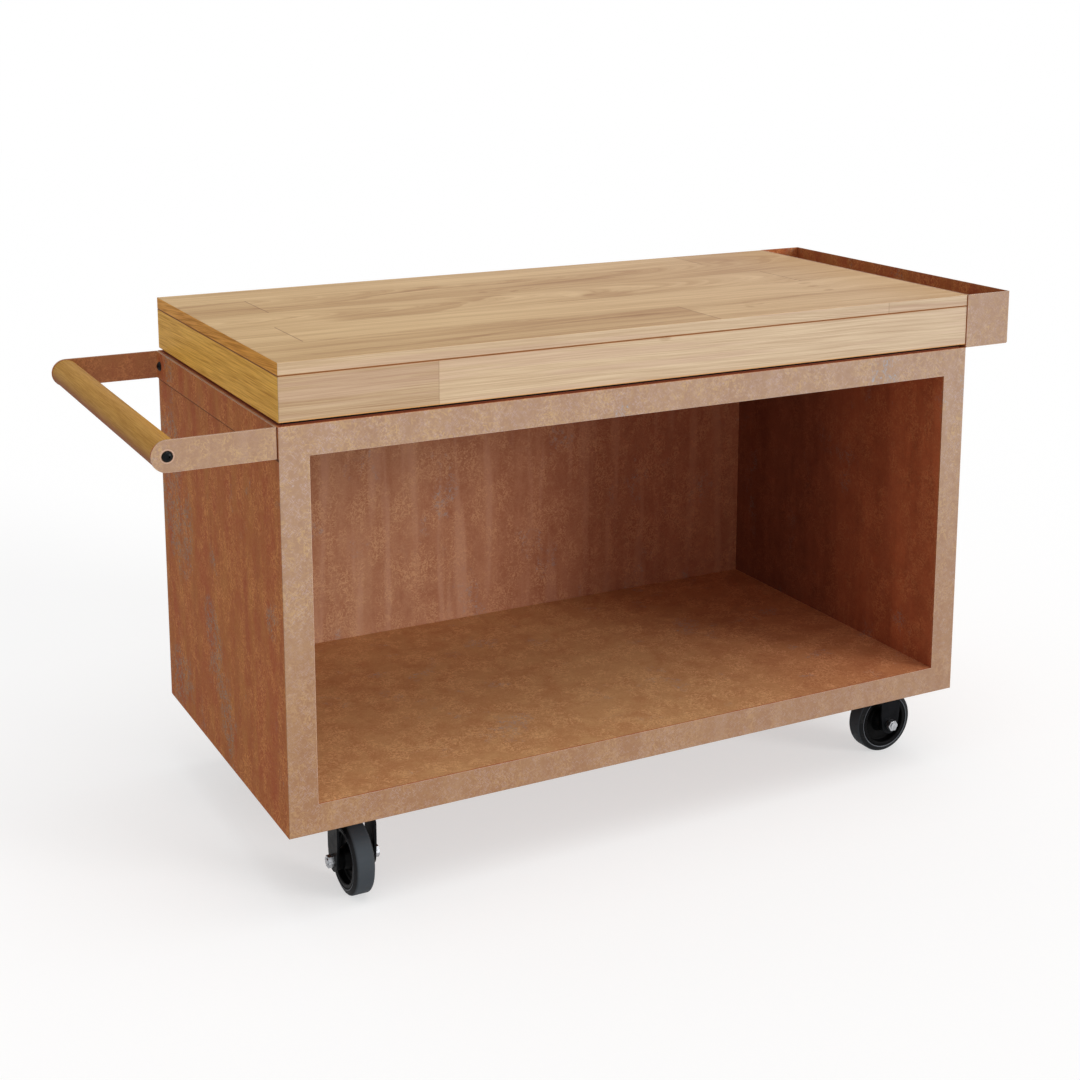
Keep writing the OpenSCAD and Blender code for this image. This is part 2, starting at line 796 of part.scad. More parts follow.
// The fork's outline from the side: a lean gusset at the back, legs tapered to the axle
module fork_outline() {
    axle = [trail, axle_z];
    back = trail - leg_w / 2;
    front = trail + leg_w / 2;
    gusset_z = crown_z - gusset_h;
    back_start = [back, axle_z + taper_back_h];
    front_start = [front, axle_z + taper_front_h];
    polygon([
        [-crown_r, crown_top], [-crown_r, crown_z], [-track_r, crown_z], [back, gusset_z],
        back_start, touch(back_start, axle, leg_end_r, -1), axle,
        touch(front_start, axle, leg_end_r, 1), front_start,
        [front, crown_top - shoulder_r], [front - shoulder_r, crown_top - shoulder_r],
        [front - shoulder_r, crown_top]
    ]);
    translate(axle) circle(r = leg_end_r, $fn = FINE);
    translate([front - shoulder_r, crown_top - shoulder_r])
        circle(r = shoulder_r, $fn = SMALL);
}

// The crown is round about the swivel axis
module fork_plan() {
    circle(r = crown_r, $fn = FINE);
    translate([0, -leg_out]) square([trail + leg_w / 2, 2 * leg_out]);
}

// The pressed fork with the lower ball track and its dust lip
module caster_fork(c) {
    track_in_r = kingpin_d / 2 + run_clear;
    color(BLACK) at_heading(c) difference() {
        union() {
            intersection() {
                translate([-crown_r, 0, 0]) rotate([90, 0, 90])
                    linear_extrude(crown_r + trail + leg_w) fork_section();
                translate([0, leg_out, 0]) rotate([90, 0, 0])
                    linear_extrude(2 * leg_out) fork_outline();
                linear_extrude(crown_top) fork_plan();
            }
            ring(crown_top, 0, lip_r + lip_t, track_h);
            ring(crown_top, lip_r, lip_r + lip_t, 2 * track_h);
        }
        ball_groove();
        translate([0, 0, crown_z - over])
            cylinder(r = track_in_r, h = fork_t + track_h + 2 * over, $fn = SMALL);
        translate([trail, leg_out + over, axle_z]) rotate([90, 0, 0])
            cylinder(d = axle_d + 2 * hole_clear, h = 2 * (leg_out + over), $fn = SMALL);
    }
}

// The axle's hexagon bolt and, on its other end, the nut
module axle_bolt(c) {
    color(ZINC) at_axle(c) {
        translate([0, 0, -leg_out - axle_head_h]) hexagon(axle_af, axle_head_h);
        translate([0, 0, -leg_out])
            cylinder(d = axle_d, h = 2 * leg_out + axle_head_h + axle_end, $fn = SMALL);
        translate([0, 0, leg_out]) difference() {
            hexagon(axle_af, axle_head_h);
            translate([0, 0, -over])
                cylinder(d = axle_d + 2 * thread_clear, h = axle_head_h + 2 * over,
                         $fn = SMALL);
        }
    }
}

// The sleeve clamped between the legs, on which the wheel turns
module axle_sleeve(c) {
    color(ZINC) at_axle(c) difference() {
        cylinder(d = sleeve_d, h = 2 * leg_in, center = true, $fn = SMALL);
        cylinder(d = axle_d + 2 * hole_clear, h = 2 * (leg_in + over), center = true,
                 $fn = SMALL);
    }
}

// A turned profile whose other half mirrors the given one
function both_sides(half) =
    concat(half, [for (i = [len(half) - 1:-1:0]) [half[i][0], -half[i][1]]]);

// The core: hub, web and rim turned in one piece
module wheel_core(c) {
    r = core_d / 2;
    rim_r = r - rim_t;
    rim_w = tyre_w / 2 - rim_inset;
    hub_r = hub_d / 2;
    root_r = hub_root_d / 2;
    ease = core_ease;
    half = [
        [sleeve_d / 2 + run_clear, hub_l / 2],
        [hub_r - ease, hub_l / 2], [hub_r, hub_l / 2 - ease],
        [hub_r, tyre_w / 2], [root_r, web_t / 2 + ease],
        [root_r + ease, web_t / 2],
        [rim_r - 2 * ease, web_t / 2], [rim_r - ease, web_t / 2 + ease],
        [rim_r, rim_w - ease], [rim_r + ease, rim_w],
        [r - ease, rim_w], [r, rim_w - ease]
    ];
    color(BLACK) at_axle(c) rotate_extrude($fn = FINE) polygon(both_sides(half));
}

// The tyre: a bead at the rim, slanted shoulders and a flat tread
module tyre(c) {
    r = wheel_d / 2;
    seat_r = core_d / 2 + thread_clear;
    side = tyre_w / 2;
    flat = tread_w / 2;
    ease = tyre_ease;
    half = [
        [seat_r, side - 2 * ease], [seat_r + ease, side - ease / 2],
        [seat_r + 2 * ease, side], [seat_r + 3 * ease, side - ease / 2],
        [r - 2 * ease, flat + 2 * ease], [r - ease / 2, flat + ease / 2], [r, flat - ease]
    ];
    color(RUBBER) at_axle(c) rotate_extrude($fn = FINE) polygon(both_sides(half));
}

front_frame();
left_side_panel();
right_side_panel();
back_panel();
top_deck();
base_pan();
bay_floor();
bay_ceiling();
bay_left_wall();
bay_right_wall();
caster_backing_plates();
worktop_board();
apron_front();
apron_back();
apron_left();
apron_right();
worktop_battens();
worktop_strip();
worktop_screws();
handle_bracket();
handle_dowel();
handle_dowel_screws();
handle_bracket_bolts();
handle_weld_nuts();
planter_trough();
planter_end_plates();
planter_screws();
caster_kingpins();
caster_bolts();
for (c = CASTERS) {
    caster_plate(c);
    caster_balls(c);
    caster_fork(c);
    axle_bolt(c);
    axle_sleeve(c);
    wheel_core(c);
    tyre(c);
}
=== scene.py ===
import json
import math

import bmesh
import bpy
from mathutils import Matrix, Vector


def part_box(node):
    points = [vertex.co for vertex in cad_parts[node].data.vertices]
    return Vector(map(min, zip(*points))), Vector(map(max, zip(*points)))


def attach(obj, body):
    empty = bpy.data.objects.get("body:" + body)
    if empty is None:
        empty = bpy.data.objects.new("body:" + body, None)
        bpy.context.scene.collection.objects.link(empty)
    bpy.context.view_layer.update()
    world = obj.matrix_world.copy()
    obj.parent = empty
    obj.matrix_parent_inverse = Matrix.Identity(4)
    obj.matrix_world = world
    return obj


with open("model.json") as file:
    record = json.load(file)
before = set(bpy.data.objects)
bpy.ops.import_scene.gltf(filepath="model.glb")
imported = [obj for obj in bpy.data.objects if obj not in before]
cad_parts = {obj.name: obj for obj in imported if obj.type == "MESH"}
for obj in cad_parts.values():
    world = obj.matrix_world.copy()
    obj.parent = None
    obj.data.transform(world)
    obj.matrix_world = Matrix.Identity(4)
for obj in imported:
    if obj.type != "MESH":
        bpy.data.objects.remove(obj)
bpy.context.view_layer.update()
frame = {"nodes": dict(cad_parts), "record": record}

# The photograph's eye point in metres, its direction in degrees, and its focal length and
# view shift in pixels of its square frame
PHOTO_SIDE = 1080
EYE = (-1.4584, -2.7919, 1.4579)
EYE_YAW = 27.56
EYE_PITCH = 10.66
FOCAL_LENGTH = 1733
VIEW_SHIFT = -210

# The camera's sensor in millimetres, and how far it sees in metres
SENSOR_WIDTH = 36
SIGHT = 100

# Two soft lamps: name, strength, height and turn to the right in degrees, and the angle that
# the lamp fills
LAMPS = [
    ("front_lamp", 1.6, 13, 38, 22),
    ("top_lamp", 0.85, 78, 20, 50),
]

# The level sky's strength as a light, and where it is seen
SKY_LIGHT = 0.52
SKY_SEEN = 1.0

# The floor: half its side in metres, its grey as other things are lit by it, and where it is
# seen, the grey that takes shadows and the glow that is added to it
FLOOR_HALF = 15
FLOOR_GREY = 0.7
FLOOR_SHADOW_GREY = 0.5
FLOOR_GLOW = 0.55

# Numbers of the axes
X = 0
Y = 1
Z = 2

# Each caster and the axis that its wheel turns on
CASTERS = {"front_left": X, "front_right": Y, "rear_left": Y, "rear_right": X}

# How squarely a face looks along an axis to count as facing that way, and the rays that find a
# rounded edge
SQUARELY = 0.7
BEVEL_SAMPLES = 4


def linear(share):
    """A share of full brightness on a screen, as the linear share that a shader takes."""
    if share <= 0.04045:
        return share / 12.92
    return ((share + 0.055) / 1.055) ** 2.4


def paint(red, green, blue):
    """A colour as a screen shows it, 0 to 255, as the linear colour that a shader takes."""
    return (linear(red / 255), linear(green / 255), linear(blue / 255), 1.0)


class Kit:
    """The tools for one procedural material, built node by node around a Principled shader."""

    def __init__(self, name, **sockets):
        self.material = bpy.data.materials.new(name)
        self.material.use_nodes = True
        self.tree = self.material.node_tree
        self.shader = self.tree.nodes["Principled BSDF"]
        for socket, value in sockets.items():
            self.shader.inputs[socket.replace("_", " ")].default_value = value
        place = self.tree.nodes.new("ShaderNodeTexCoord")
        self.point = place.outputs["Object"]
        self.facing = place.outputs["Normal"]

    def node(self, kind, inputs, **settings):
        """A new node, its inputs linked to sockets or set to values."""
        made = self.tree.nodes.new("ShaderNode" + kind)
        for name, value in settings.items():
            setattr(made, name, value)
        for key, value in inputs.items():
            if isinstance(value, bpy.types.NodeSocket):
                self.tree.links.new(value, made.inputs[key])
            else:
                made.inputs[key].default_value = value
        return made

    def math(self, operation, first, second=0.0):
        return self.node("Math", {0: first, 1: second}, operation=operation).outputs[0]

    def times(self, first, second):
        return self.math("MULTIPLY", first, second)

    def plus(self, first, second):
        return self.math("ADD", first, second)

    def minus(self, first, second):
        return self.math("SUBTRACT", first, second)

    def size(self, value):
        """A number without its sign."""
        return self.math("ABSOLUTE", value)

    def distance(self, value, centre):
        return self.size(self.minus(value, centre))

    def above(self, value, limit):
        """1 where the value is greater than the limit, else 0."""
        return self.math("GREATER_THAN", value, limit)

    def below(self, value, limit):
        """1 where the value is less than the limit, else 0."""
        return self.math("LESS_THAN", value, limit)

    def larger(self, first, second):
        return self.math("MAXIMUM", first, second)

    def vector(self, operation, first, second):
        return self.node("VectorMath", {0: first, 1: second}, operation=operation).outputs[0]

    def split(self, vector):
        return self.node("SeparateXYZ", {0: vector}).outputs

    def join(self, x, y, z):
        return self.node("CombineXYZ", {0: x, 1: y, 2: z}).outputs[0]

    def noise(self, vector, scale, detail=3.0, rough=0.55, stretch=None, twist=0.0):
        if stretch:
            vector = self.vector("MULTIPLY", vector, stretch)
        inputs = {"Vector": vector, "Scale": scale, "Detail": detail, "Roughness": rough,
                  "Distortion": twist}
        return self.node("TexNoise", inputs).outputs[0]

    def ramp(self, value, low, high, bottom=0.0, top=1.0):
        """Runs smoothly from bottom at low to top at high."""
        inputs = {"Value": value, "From Min": low, "From Max": high, "To Min": bottom, "To Max": top}
        return self.node("MapRange", inputs, interpolation_type="SMOOTHSTEP").outputs[0]

    def ramp_line(self, value, low, high):
        """Runs evenly from 0 at low to 1 at high."""
        return self.node("MapRange", {"Value": value, "From Min": low, "From Max": high}).outputs[0]

    def steps(self, value, levels):
        """Three numbers from 0 to 1 that jump at given places.

        levels holds (place, three numbers) in order. A new band has its first two stops.
        """
        made = self.node("ValToRGB", {0: value})
        band = made.color_ramp
        band.interpolation = "CONSTANT"
        for i, (place, numbers) in enumerate(levels):
            stop = band.elements[i] if i < 2 else band.elements.new(place)
            stop.position = place
            stop.color = (*numbers, 1.0)
        return self.node("SeparateColor", {0: made.outputs[0]}).outputs

    def mix(self, share, first, second):
        """A colour that goes from first to second as share goes from 0 to 1."""
        return self.node("Mix", {0: share, 6: first, 7: second}, data_type="RGBA").outputs[2]

    def either(self, share, first, second):
        """A number that goes from first to second as share goes from 0 to 1."""
        return self.node("Mix", {0: share, 2: first, 3: second}, data_type="FLOAT").outputs[0]

    def faces_along(self, axis):
        """1 on faces that look along an axis, either way, and 0 on the others."""
        return self.above(self.size(self.split(self.facing)[axis]), SQUARELY)

    def strands(self, scale, width, breaks):
        """1 along thin short lines, where a noise crosses its middle and breaks is high."""
        field = self.noise(self.point, scale, detail=2, rough=0.6, twist=0.7)
        line = self.ramp(self.distance(field, 0.5), width, width * 0.3)
        return self.times(line, self.ramp(breaks, 0.44, 0.54))

    def hatch(self, along, across):
        """1 on short straight strokes that cross on the diagonals of each face."""
        x, y, z = self.split(self.point)
        right = self.either(self.faces_along(X), x, y)
        rise = self.either(self.faces_along(Z), z, y)
        ups, downs = self.plus(right, rise), self.minus(right, rise)
        share = 0.0
        for seed, long_way, short_way in ((2.0, ups, downs), (9.0, downs, ups)):
            place = self.join(self.times(long_way, along), self.times(short_way, across), seed)
            strokes = self.ramp(self.noise(place, 1, detail=2, rough=0.6), 0.54, 0.62)
            share = self.larger(share, strokes)
        return share

    def rounded(self, radius):
        """The way that a face looks when its edges are rounded."""
        return self.node("Bevel", {"Radius": radius}, samples=BEVEL_SAMPLES).outputs[0]

    def edge(self, radius):
        """1 on sharp edges and 0 on the faces between them."""
        plain = self.node("NewGeometry", {}).outputs["Normal"]
        ways = {0: self.rounded(radius), 1: plain}
        match = self.node("VectorMath", ways, operation="DOT_PRODUCT")
        return self.ramp(match.outputs["Value"], 0.99, 0.85)

    def colour(self, socket):
        self.tree.links.new(socket, self.shader.inputs["Base Color"])

    def roughness(self, socket):
        self.tree.links.new(socket, self.shader.inputs["Roughness"])

    def bump(self, height, depth, edge=0.0):
        """Relief from a height of 0 to 1, depth metres deep, on edges rounded by edge metres."""
        inputs = {"Height": height, "Strength": 1.0, "Distance": depth}
        if edge:
            inputs["Normal"] = self.rounded(edge)
        made = self.node("Bump", inputs)
        self.tree.links.new(made.outputs[0], self.shader.inputs["Normal"])


def palette(base, deep, thread, fleck, run):
    """Weathering steel's colours: its ground and a deeper shade, threads, grey strokes and runs."""
    return {"base": paint(*base), "deep": paint(*deep), "thread": paint(*thread),
            "fleck": paint(*fleck), "run": paint(*run)}


# The outside, with the front's lower and upper parts in a painted sheen, and the bright right and back
# sides
RUST_OUTSIDE = palette((174, 109, 61), (167, 88, 55), (212, 143, 86),
                       (130, 136, 128), (154, 80, 52))
RUST_SHEEN_FRONT_LOW = palette((166, 127, 95), (160, 119, 90), (186, 148, 110),
                         (190, 168, 164), (174, 139, 112))
RUST_SHEEN_FRONT_HIGH = palette((176, 142, 117), (169, 134, 110), (200, 166, 124),
                          (206, 186, 190), (184, 153, 133))
RUST_BRIGHT_SIDE = palette((164, 114, 80), (154, 98, 68), (190, 139, 96),
                           (146, 138, 130), (148, 97, 70))

# The deck, and the bay's back, right wall and floor, each painted lit at one end and shaded at
# the other: painted light on the back's left, the wall's front and the floor's left, and
# painted shade on the back's right, the wall's back and the floor's right
RUST_DECK = palette((176, 96, 66), (156, 80, 54), (200, 124, 86),
                    (140, 116, 106), (150, 80, 56))
RUST_BACK_LIT_LEFT = palette((178, 130, 100), (164, 112, 84), (208, 164, 124),
                         (160, 152, 150), (196, 152, 126))
RUST_BACK_SHADED_RIGHT = palette((174, 105, 75), (156, 88, 62), (204, 138, 98),
                          (150, 132, 126), (186, 122, 92))
RUST_WALL_LIT_FRONT = palette((185, 101, 64), (155, 81, 51), (212, 139, 90),
                          (150, 130, 120), (172, 96, 65))
RUST_WALL_SHADED_BACK = palette((126, 72, 52), (108, 58, 42), (156, 98, 70),
                         (116, 102, 96), (118, 66, 48))
RUST_FLOOR_LIT_LEFT = palette((198, 151, 103), (186, 132, 88), (222, 174, 124),
                          (170, 158, 154), (194, 144, 104))
RUST_FLOOR_SHADED_RIGHT = palette((188, 120, 78), (172, 104, 68), (216, 150, 104),
                           (160, 140, 130), (186, 120, 82))

# The steel's single colours: edges with wear and a painted highlight, the front's painted sheen
# to the right and its scratches, and on the handle bracket painted bounce light on the arms'
# inner faces, painted highlight rings round its screws and the painted shadow below it
EDGE_WEAR_HIGHLIGHT = paint(208, 150, 114)
FRONT_EDGE_WEAR_HIGHLIGHT = paint(226, 198, 180)
FRONT_SHEEN_HAZE = paint(180, 168, 162)
FRONT_SCRATCH = paint(150, 168, 182)
ARM_INSIDE_BOUNCE_LIGHT = paint(214, 170, 140)
SCREW_RING_HIGHLIGHT = paint(228, 190, 168)
BRACKET_SHADOW = paint(64, 38, 28)

# Places on the steel in metres: the left panel's face, the upper faces of the bracket and the
# planter, the outer faces that look to the front, right and back, the bracket's arms, the
# handle's screws as X and Z with the painted highlight ring round each, and the painted shadow
# line below the bracket
PANEL_X = -0.627
BRACKET_TOP_OVER = 0.80
PLANTER_TOP_OVER = 0.90
FRONT_BEFORE = -0.30
RIGHT_BEYOND = 0.70
BACK_BEYOND = 0.33
ARMS_BEFORE = -0.631
ARM_INSIDE_WITHIN = 0.332
ARM_OUTSIDE_BEYOND = 0.335
SCREW_PLACE = (-0.798, 0.800)
SCREW_RING_RADIUS = 0.0102
BRACKET_SHADOW_Z = 0.7725

# Where grey strokes gather on the left panel, the front's top rail and the back panel: centre
# and reach
STROKE_PLACES = [
    ((-0.627, 0.26, 0.54), 0.20),
    ((-0.627, 0.25, 0.21), 0.15),
    ((-0.627, 0.04, 0.37), 0.08),
    ((-0.627, -0.29, 0.50), 0.08),
    ((0.535, -0.3375, 0.806), 0.08),
    ((-0.53, 0.3345, 0.66), 0.09),
    ((-0.05, 0.3345, 0.71), 0.13),
    ((0.13, 0.3345, 0.74), 0.10),
]


def stroke_density(kit):
    """How thickly grey strokes lie, as a noise that is raised where they gather."""
    density = kit.noise(kit.point, 1, detail=4, rough=0.62, stretch=(9, 9, 6))
    for centre, size in STROKE_PLACES:
        reach = kit.node("VectorMath", {0: kit.point, 1: centre}, operation="DISTANCE").outputs["Value"]
        density = kit.plus(density, kit.ramp(reach, size, 0.0, 0.0, 0.16))
    return density


def thread_lines(kit, breaks, other_breaks):
    """1 along wide threads, and less along narrow ones and on the crumbs between them."""
    wide = kit.strands(70, 0.050, breaks)
    narrow = kit.strands(125, 0.075, other_breaks)
    crumbs = kit.ramp(kit.noise(kit.point, 260, detail=3, rough=0.75), 0.50, 0.60)
    return kit.larger(wide, kit.larger(kit.times(narrow, 0.9), kit.times(crumbs, 0.5)))


def patina_masks(kit, threads, runs):
    """Where weathering steel turns darker, runs, and carries ochre threads and grey strokes.

    The front takes its finer strokes from frost, and its scratches from scratch.
    """
    upright = kit.ramp(kit.size(kit.split(kit.facing)[Z]), 0.3, 0.7, 1.0, 0.0)
    bands = kit.noise(kit.point, 1, detail=4, rough=0.62, stretch=(16, 16, 1.9), twist=0.3)
    mottle = kit.noise(kit.point, 26, detail=5, rough=0.68)
    wash = kit.noise(kit.point, 1, detail=2, rough=0.5, stretch=(30, 30, 2.4))
    clumps = kit.noise(kit.point, 1, detail=5, rough=0.68, stretch=(21, 21, 14))
    breaks = kit.noise(kit.point, 90, detail=2)
    other_breaks = kit.minus(1.0, breaks)
    lines = thread_lines(kit, breaks, other_breaks)
    strokes = kit.times(kit.hatch(85, 460), kit.ramp(other_breaks, 0.40, 0.54))
    density = stroke_density(kit)
    return {
        "cloud": kit.plus(kit.ramp(bands, 0.40, 0.60, 0.0, 0.6), kit.ramp(mottle, 0.38, 0.62, 0.0, 0.4)),
        "run": kit.times(kit.ramp(wash, 0.50, 0.68, 0.0, runs), upright),
        "thread": kit.times(lines, kit.ramp(clumps, 0.42, 0.60, 0.25 * threads, threads)),
        "fleck": kit.times(strokes, kit.ramp(density, 0.57, 0.66, 0.0, 0.9)),
        "frost": kit.times(strokes, kit.ramp(density, 0.34, 0.66, 0.2, 0.42)),
        "scratch": kit.times(strokes, kit.ramp(density, 0.62, 0.69, 0.0, 0.9)),
    }


def patina(kit, masks, colours):
    """The steel's colour, from its masks and one palette."""
    shade = kit.mix(masks["cloud"], colours["deep"], colours["base"])
    shade = kit.mix(masks["run"], shade, colours["run"])
    shade = kit.mix(masks["thread"], shade, colours["thread"])
    return kit.mix(masks["fleck"], shade, colours["fleck"])


def sheen_lit_places(kit, facing, place):
    """1 on the front, the bracket's upper edge and the planter's rim, which take a paler painted sheen
    and painted light from above.
    """
    at_front = kit.times(kit.ramp(facing[Y], -0.4, -0.8), kit.below(place[Y], FRONT_BEFORE))
    top_over = kit.ramp(place[X], PANEL_X, PANEL_X - 0.0004, PLANTER_TOP_OVER, BRACKET_TOP_OVER)
    on_top = kit.times(kit.ramp(facing[Z], 0.6, 0.9), kit.above(place[Z], top_over))
    return kit.larger(at_front, on_top)


def bright_sides(kit, facing, place):
    """1 on the outer faces to the right and to the back, which are paler than the left panel."""
    right = kit.times(kit.ramp(facing[X], 0.6, 0.9), kit.above(place[X], RIGHT_BEYOND))
    back = kit.times(kit.ramp(facing[Y], 0.6, 0.9), kit.above(place[Y], BACK_BEYOND))
    return kit.larger(right, back)


def arm_insides_bounce_lit(kit, facing, place):
    """1 on the inner faces of the handle bracket's arms, which take a little painted bounce light."""
    sideways = kit.ramp(kit.size(facing[Y]), 0.6, 0.9)
    inner = kit.below(kit.size(place[Y]), ARM_INSIDE_WITHIN)
    return kit.times(kit.times(sideways, inner), kit.below(place[X], ARMS_BEFORE))


def screw_highlight_rings(kit, place):
    """1 on the painted highlight ring round each screw head on the outside of the handle bracket's arms.
    """
    across = kit.minus(place[X], SCREW_PLACE[0])
    over = kit.minus(place[Z], SCREW_PLACE[1])
    radius = kit.math("SQRT", kit.plus(kit.times(across, across), kit.times(over, over)))
    outside = kit.above(kit.size(place[Y]), ARM_OUTSIDE_BEYOND)
    return kit.times(kit.ramp(kit.distance(radius, SCREW_RING_RADIUS), 0.0014, 0.0005), outside)


def bracket_shadow_line(kit, place):
    """1 on the thin painted shadow that runs across the left panel just below the bracket."""
    on_panel = kit.times(kit.above(place[X], PANEL_X - 0.0005), kit.below(place[X], PANEL_X + 0.0005))
    return kit.times(kit.ramp(kit.distance(place[Z], BRACKET_SHADOW_Z), 0.0035, 0.0012), on_panel)


def sheen_front_patina(kit, masks, place):
    """The front's steel in a painted sheen, which turns paler upwards and takes a painted grey haze to
    the right.
    """
    frost = kit.times(masks["frost"], kit.ramp(place[X], -0.640, PANEL_X, 0.35, 1.0))
    frosted = masks | {"fleck": frost}
    low = patina(kit, frosted, RUST_SHEEN_FRONT_LOW)
    high = patina(kit, frosted, RUST_SHEEN_FRONT_HIGH)
    shade = kit.mix(kit.ramp(place[Z], 0.18, 0.78), low, high)
    shade = kit.mix(kit.ramp(place[X], -0.4, 0.8, 0.0, 0.13), shade, FRONT_SHEEN_HAZE)
    return kit.mix(masks["scratch"], shade, FRONT_SCRATCH)


def rust_surface(kit, masks):
    """A dull and finely pitted surface, on which the threads stand proud."""
    grain = kit.noise(kit.point, 420, detail=3, rough=0.65)
    kit.roughness(kit.ramp(grain, 0.36, 0.64, 0.66, 0.84))
    kit.bump(kit.plus(grain, kit.times(masks["thread"], 0.5)), 0.00012, edge=0.0008)


def rust(name, colours, far_colours=None, drift=None, threads=0.7, runs=0.35, outside=False):
    """Weathering steel: banded brown patina with fine ochre threads, grey strokes and soft runs.

    drift, with an axis and two places on it, is where the colours turn into far_colours. The
    outside also has the front's painted sheen, and on the handle bracket painted bounce light on
    the arms' inner faces and painted highlight rings round the screws. Edges take wear and a
    painted highlight, and the left panel a painted shadow below the bracket.
    """
    kit = Kit(name, Specular_IOR_Level=0.08)
    place = kit.split(kit.point)
    facing = kit.split(kit.facing)
    masks = patina_masks(kit, threads, runs)
    shade = patina(kit, masks, colours)
    if far_colours:
        axis, near, far = drift
        shade = kit.mix(kit.ramp(place[axis], near, far), shade, patina(kit, masks, far_colours))
    shade = kit.mix(bright_sides(kit, facing, place), shade, patina(kit, masks, RUST_BRIGHT_SIDE))
    edge_colour = EDGE_WEAR_HIGHLIGHT
    edge_share = 0.5
    if outside:
        # Painted sheen on the front and painted light on the upper rims of the bracket and the planter
        pale = sheen_lit_places(kit, facing, place)
        shade = kit.mix(pale, shade, sheen_front_patina(kit, masks, place))
        # Painted bounce light on the inner faces of the bracket's arms
        shade = kit.mix(kit.times(arm_insides_bounce_lit(kit, facing, place), 0.2), shade, ARM_INSIDE_BOUNCE_LIGHT)
        # Painted highlight rings round the handle's screws
        shade = kit.mix(kit.times(screw_highlight_rings(kit, place), 0.55), shade, SCREW_RING_HIGHLIGHT)
        edge_colour = kit.mix(pale, EDGE_WEAR_HIGHLIGHT, FRONT_EDGE_WEAR_HIGHLIGHT)
        edge_share = kit.either(pale, 0.5, 0.85)
    # Wear and a painted highlight on the edges
    shade = kit.mix(kit.times(kit.edge(0.0014), edge_share), shade, edge_colour)
    # Painted shadow on the left panel below the bracket
    kit.colour(kit.mix(kit.times(bracket_shadow_line(kit, place), 0.75), shade, BRACKET_SHADOW))
    rust_surface(kit, masks)
    return kit.material


# The worktop's staves from the front row to the back: where the row starts along Y, where it is
# cut along X, and for the stave on each side of the cut its tone from dark 0 to light 1, the place
# along Y and the depth of the heart that its growth rings run round
STAVE_ROWS = [
    (-0.3355, 0.175, (0.28, -0.12, 0.06), (0.54, -0.42, 0.07)),
    (-0.1945, -0.532, (0.54, -0.26, 0.04), (0.68, -0.34, 0.02)),
    (-0.0565, 0.545, (0.52, 0.02, 0.08), (0.42, 0.12, 0.05)),
    (0.0835, -0.495, (0.16, 0.22, 0.06), (0.28, 0.20, 0.09)),
    (0.2155, 0.493, (0.66, 0.42, 0.05), (0.32, 0.24, 0.06)),
]

# Half the worktop along Y, where its front face is cut along X, and the heights of the groove
# between board and aprons and of the wood's foot
WORKTOP_HALF = 0.3355
FRONT_CUT = 0.539
GROOVE_Z = 0.9039
FOOT_Z = 0.831

# Where the front apron's two boards meet along X, and its knot: X and Z, and half its size
APRON_JOINT = -0.357
APRON_KNOT = ((0.063, 0.902), (0.012, 0.006))

# Darker flames in the worktop: row, centre, half length and half width, and strength
FLAMES = [
    (0, (-0.12, -0.235), (0.22, 0.030), 0.25),
    (0, (0.11, -0.230), (0.09, 0.032), 0.22),
    (2, (-0.24, 0.020), (0.21, 0.054), 0.12),
    (2, (0.13, -0.020), (0.06, 0.030), 0.36),
    (2, (0.068, 0.010), (0.018, 0.036), -0.28),
    (3, (-0.56, 0.105), (0.09, 0.050), 0.10),
    (3, (0.15, 0.130), (0.12, 0.045), 0.10),
    (4, (0.60, 0.270), (0.12, 0.060), 0.20),
]

# Lines in the worktop's wood: row, the two ends along X, where it bends along X, its places
# along Y before and after the bend, half width, and how much darker it is
STREAKS = [
    (0, (-0.56, 0.09), (-0.40, 0.05), (-0.297, -0.236), 0.005, 0.36),
    (0, (0.24, 0.46), (0.24, 0.38), (-0.224, -0.203), 0.004, 0.30),
    (0, (0.28, 0.70), (0.30, 0.60), (-0.270, -0.294), 0.004, 0.22),
    (1, (-0.53, -0.04), (-0.53, -0.04), (-0.192, -0.192), 0.004, 0.34),
    (2, (-0.56, -0.44), (-0.56, -0.44), (-0.010, 0.030), 0.004, 0.30),
    (2, (0.17, 0.38), (0.17, 0.38), (0.050, -0.022), 0.007, -0.26),
    (3, (-0.49, 0.05), (-0.38, -0.16), (0.130, 0.188), 0.006, 0.40),
    (3, (0.05, 0.24), (0.05, 0.24), (0.189, 0.150), 0.005, 0.16),
    (4, (-0.52, -0.27), (-0.52, -0.27), (0.315, 0.313), 0.005, 0.22),
]

# Darker wood beyond a line, given as a streak's is, with how far it reaches along Y
SHADOWS = [
    (0, (0.00, 0.16), (0.00, 0.10), (-0.240, -0.262), 0.05, 0.14),
    (2, (-0.40, -0.05), (-0.245, -0.04), (-0.048, 0.062), 0.12, 0.46),
]

# How far the soft ends of such lines reach outside and inside their two ends
FADE_OUTSIDE = 0.05
FADE_INSIDE = 0.02

# Knots in the worktop: row, centre, size and strength
KNOTS = [
    (0, (0.292, -0.250), 0.010, 1.2),
    (1, (0.535, -0.079), 0.018, 1.3),
    (1, (0.528, -0.122), 0.015, 1.1),
    (1, (0.527, -0.164), 0.014, 1.1),
    (2, (0.096, -0.010), 0.016, 0.8),
    (3, (-0.008, 0.092), 0.011, 1.1),
    (3, (-0.066, 0.112), 0.011, 0.8),
]

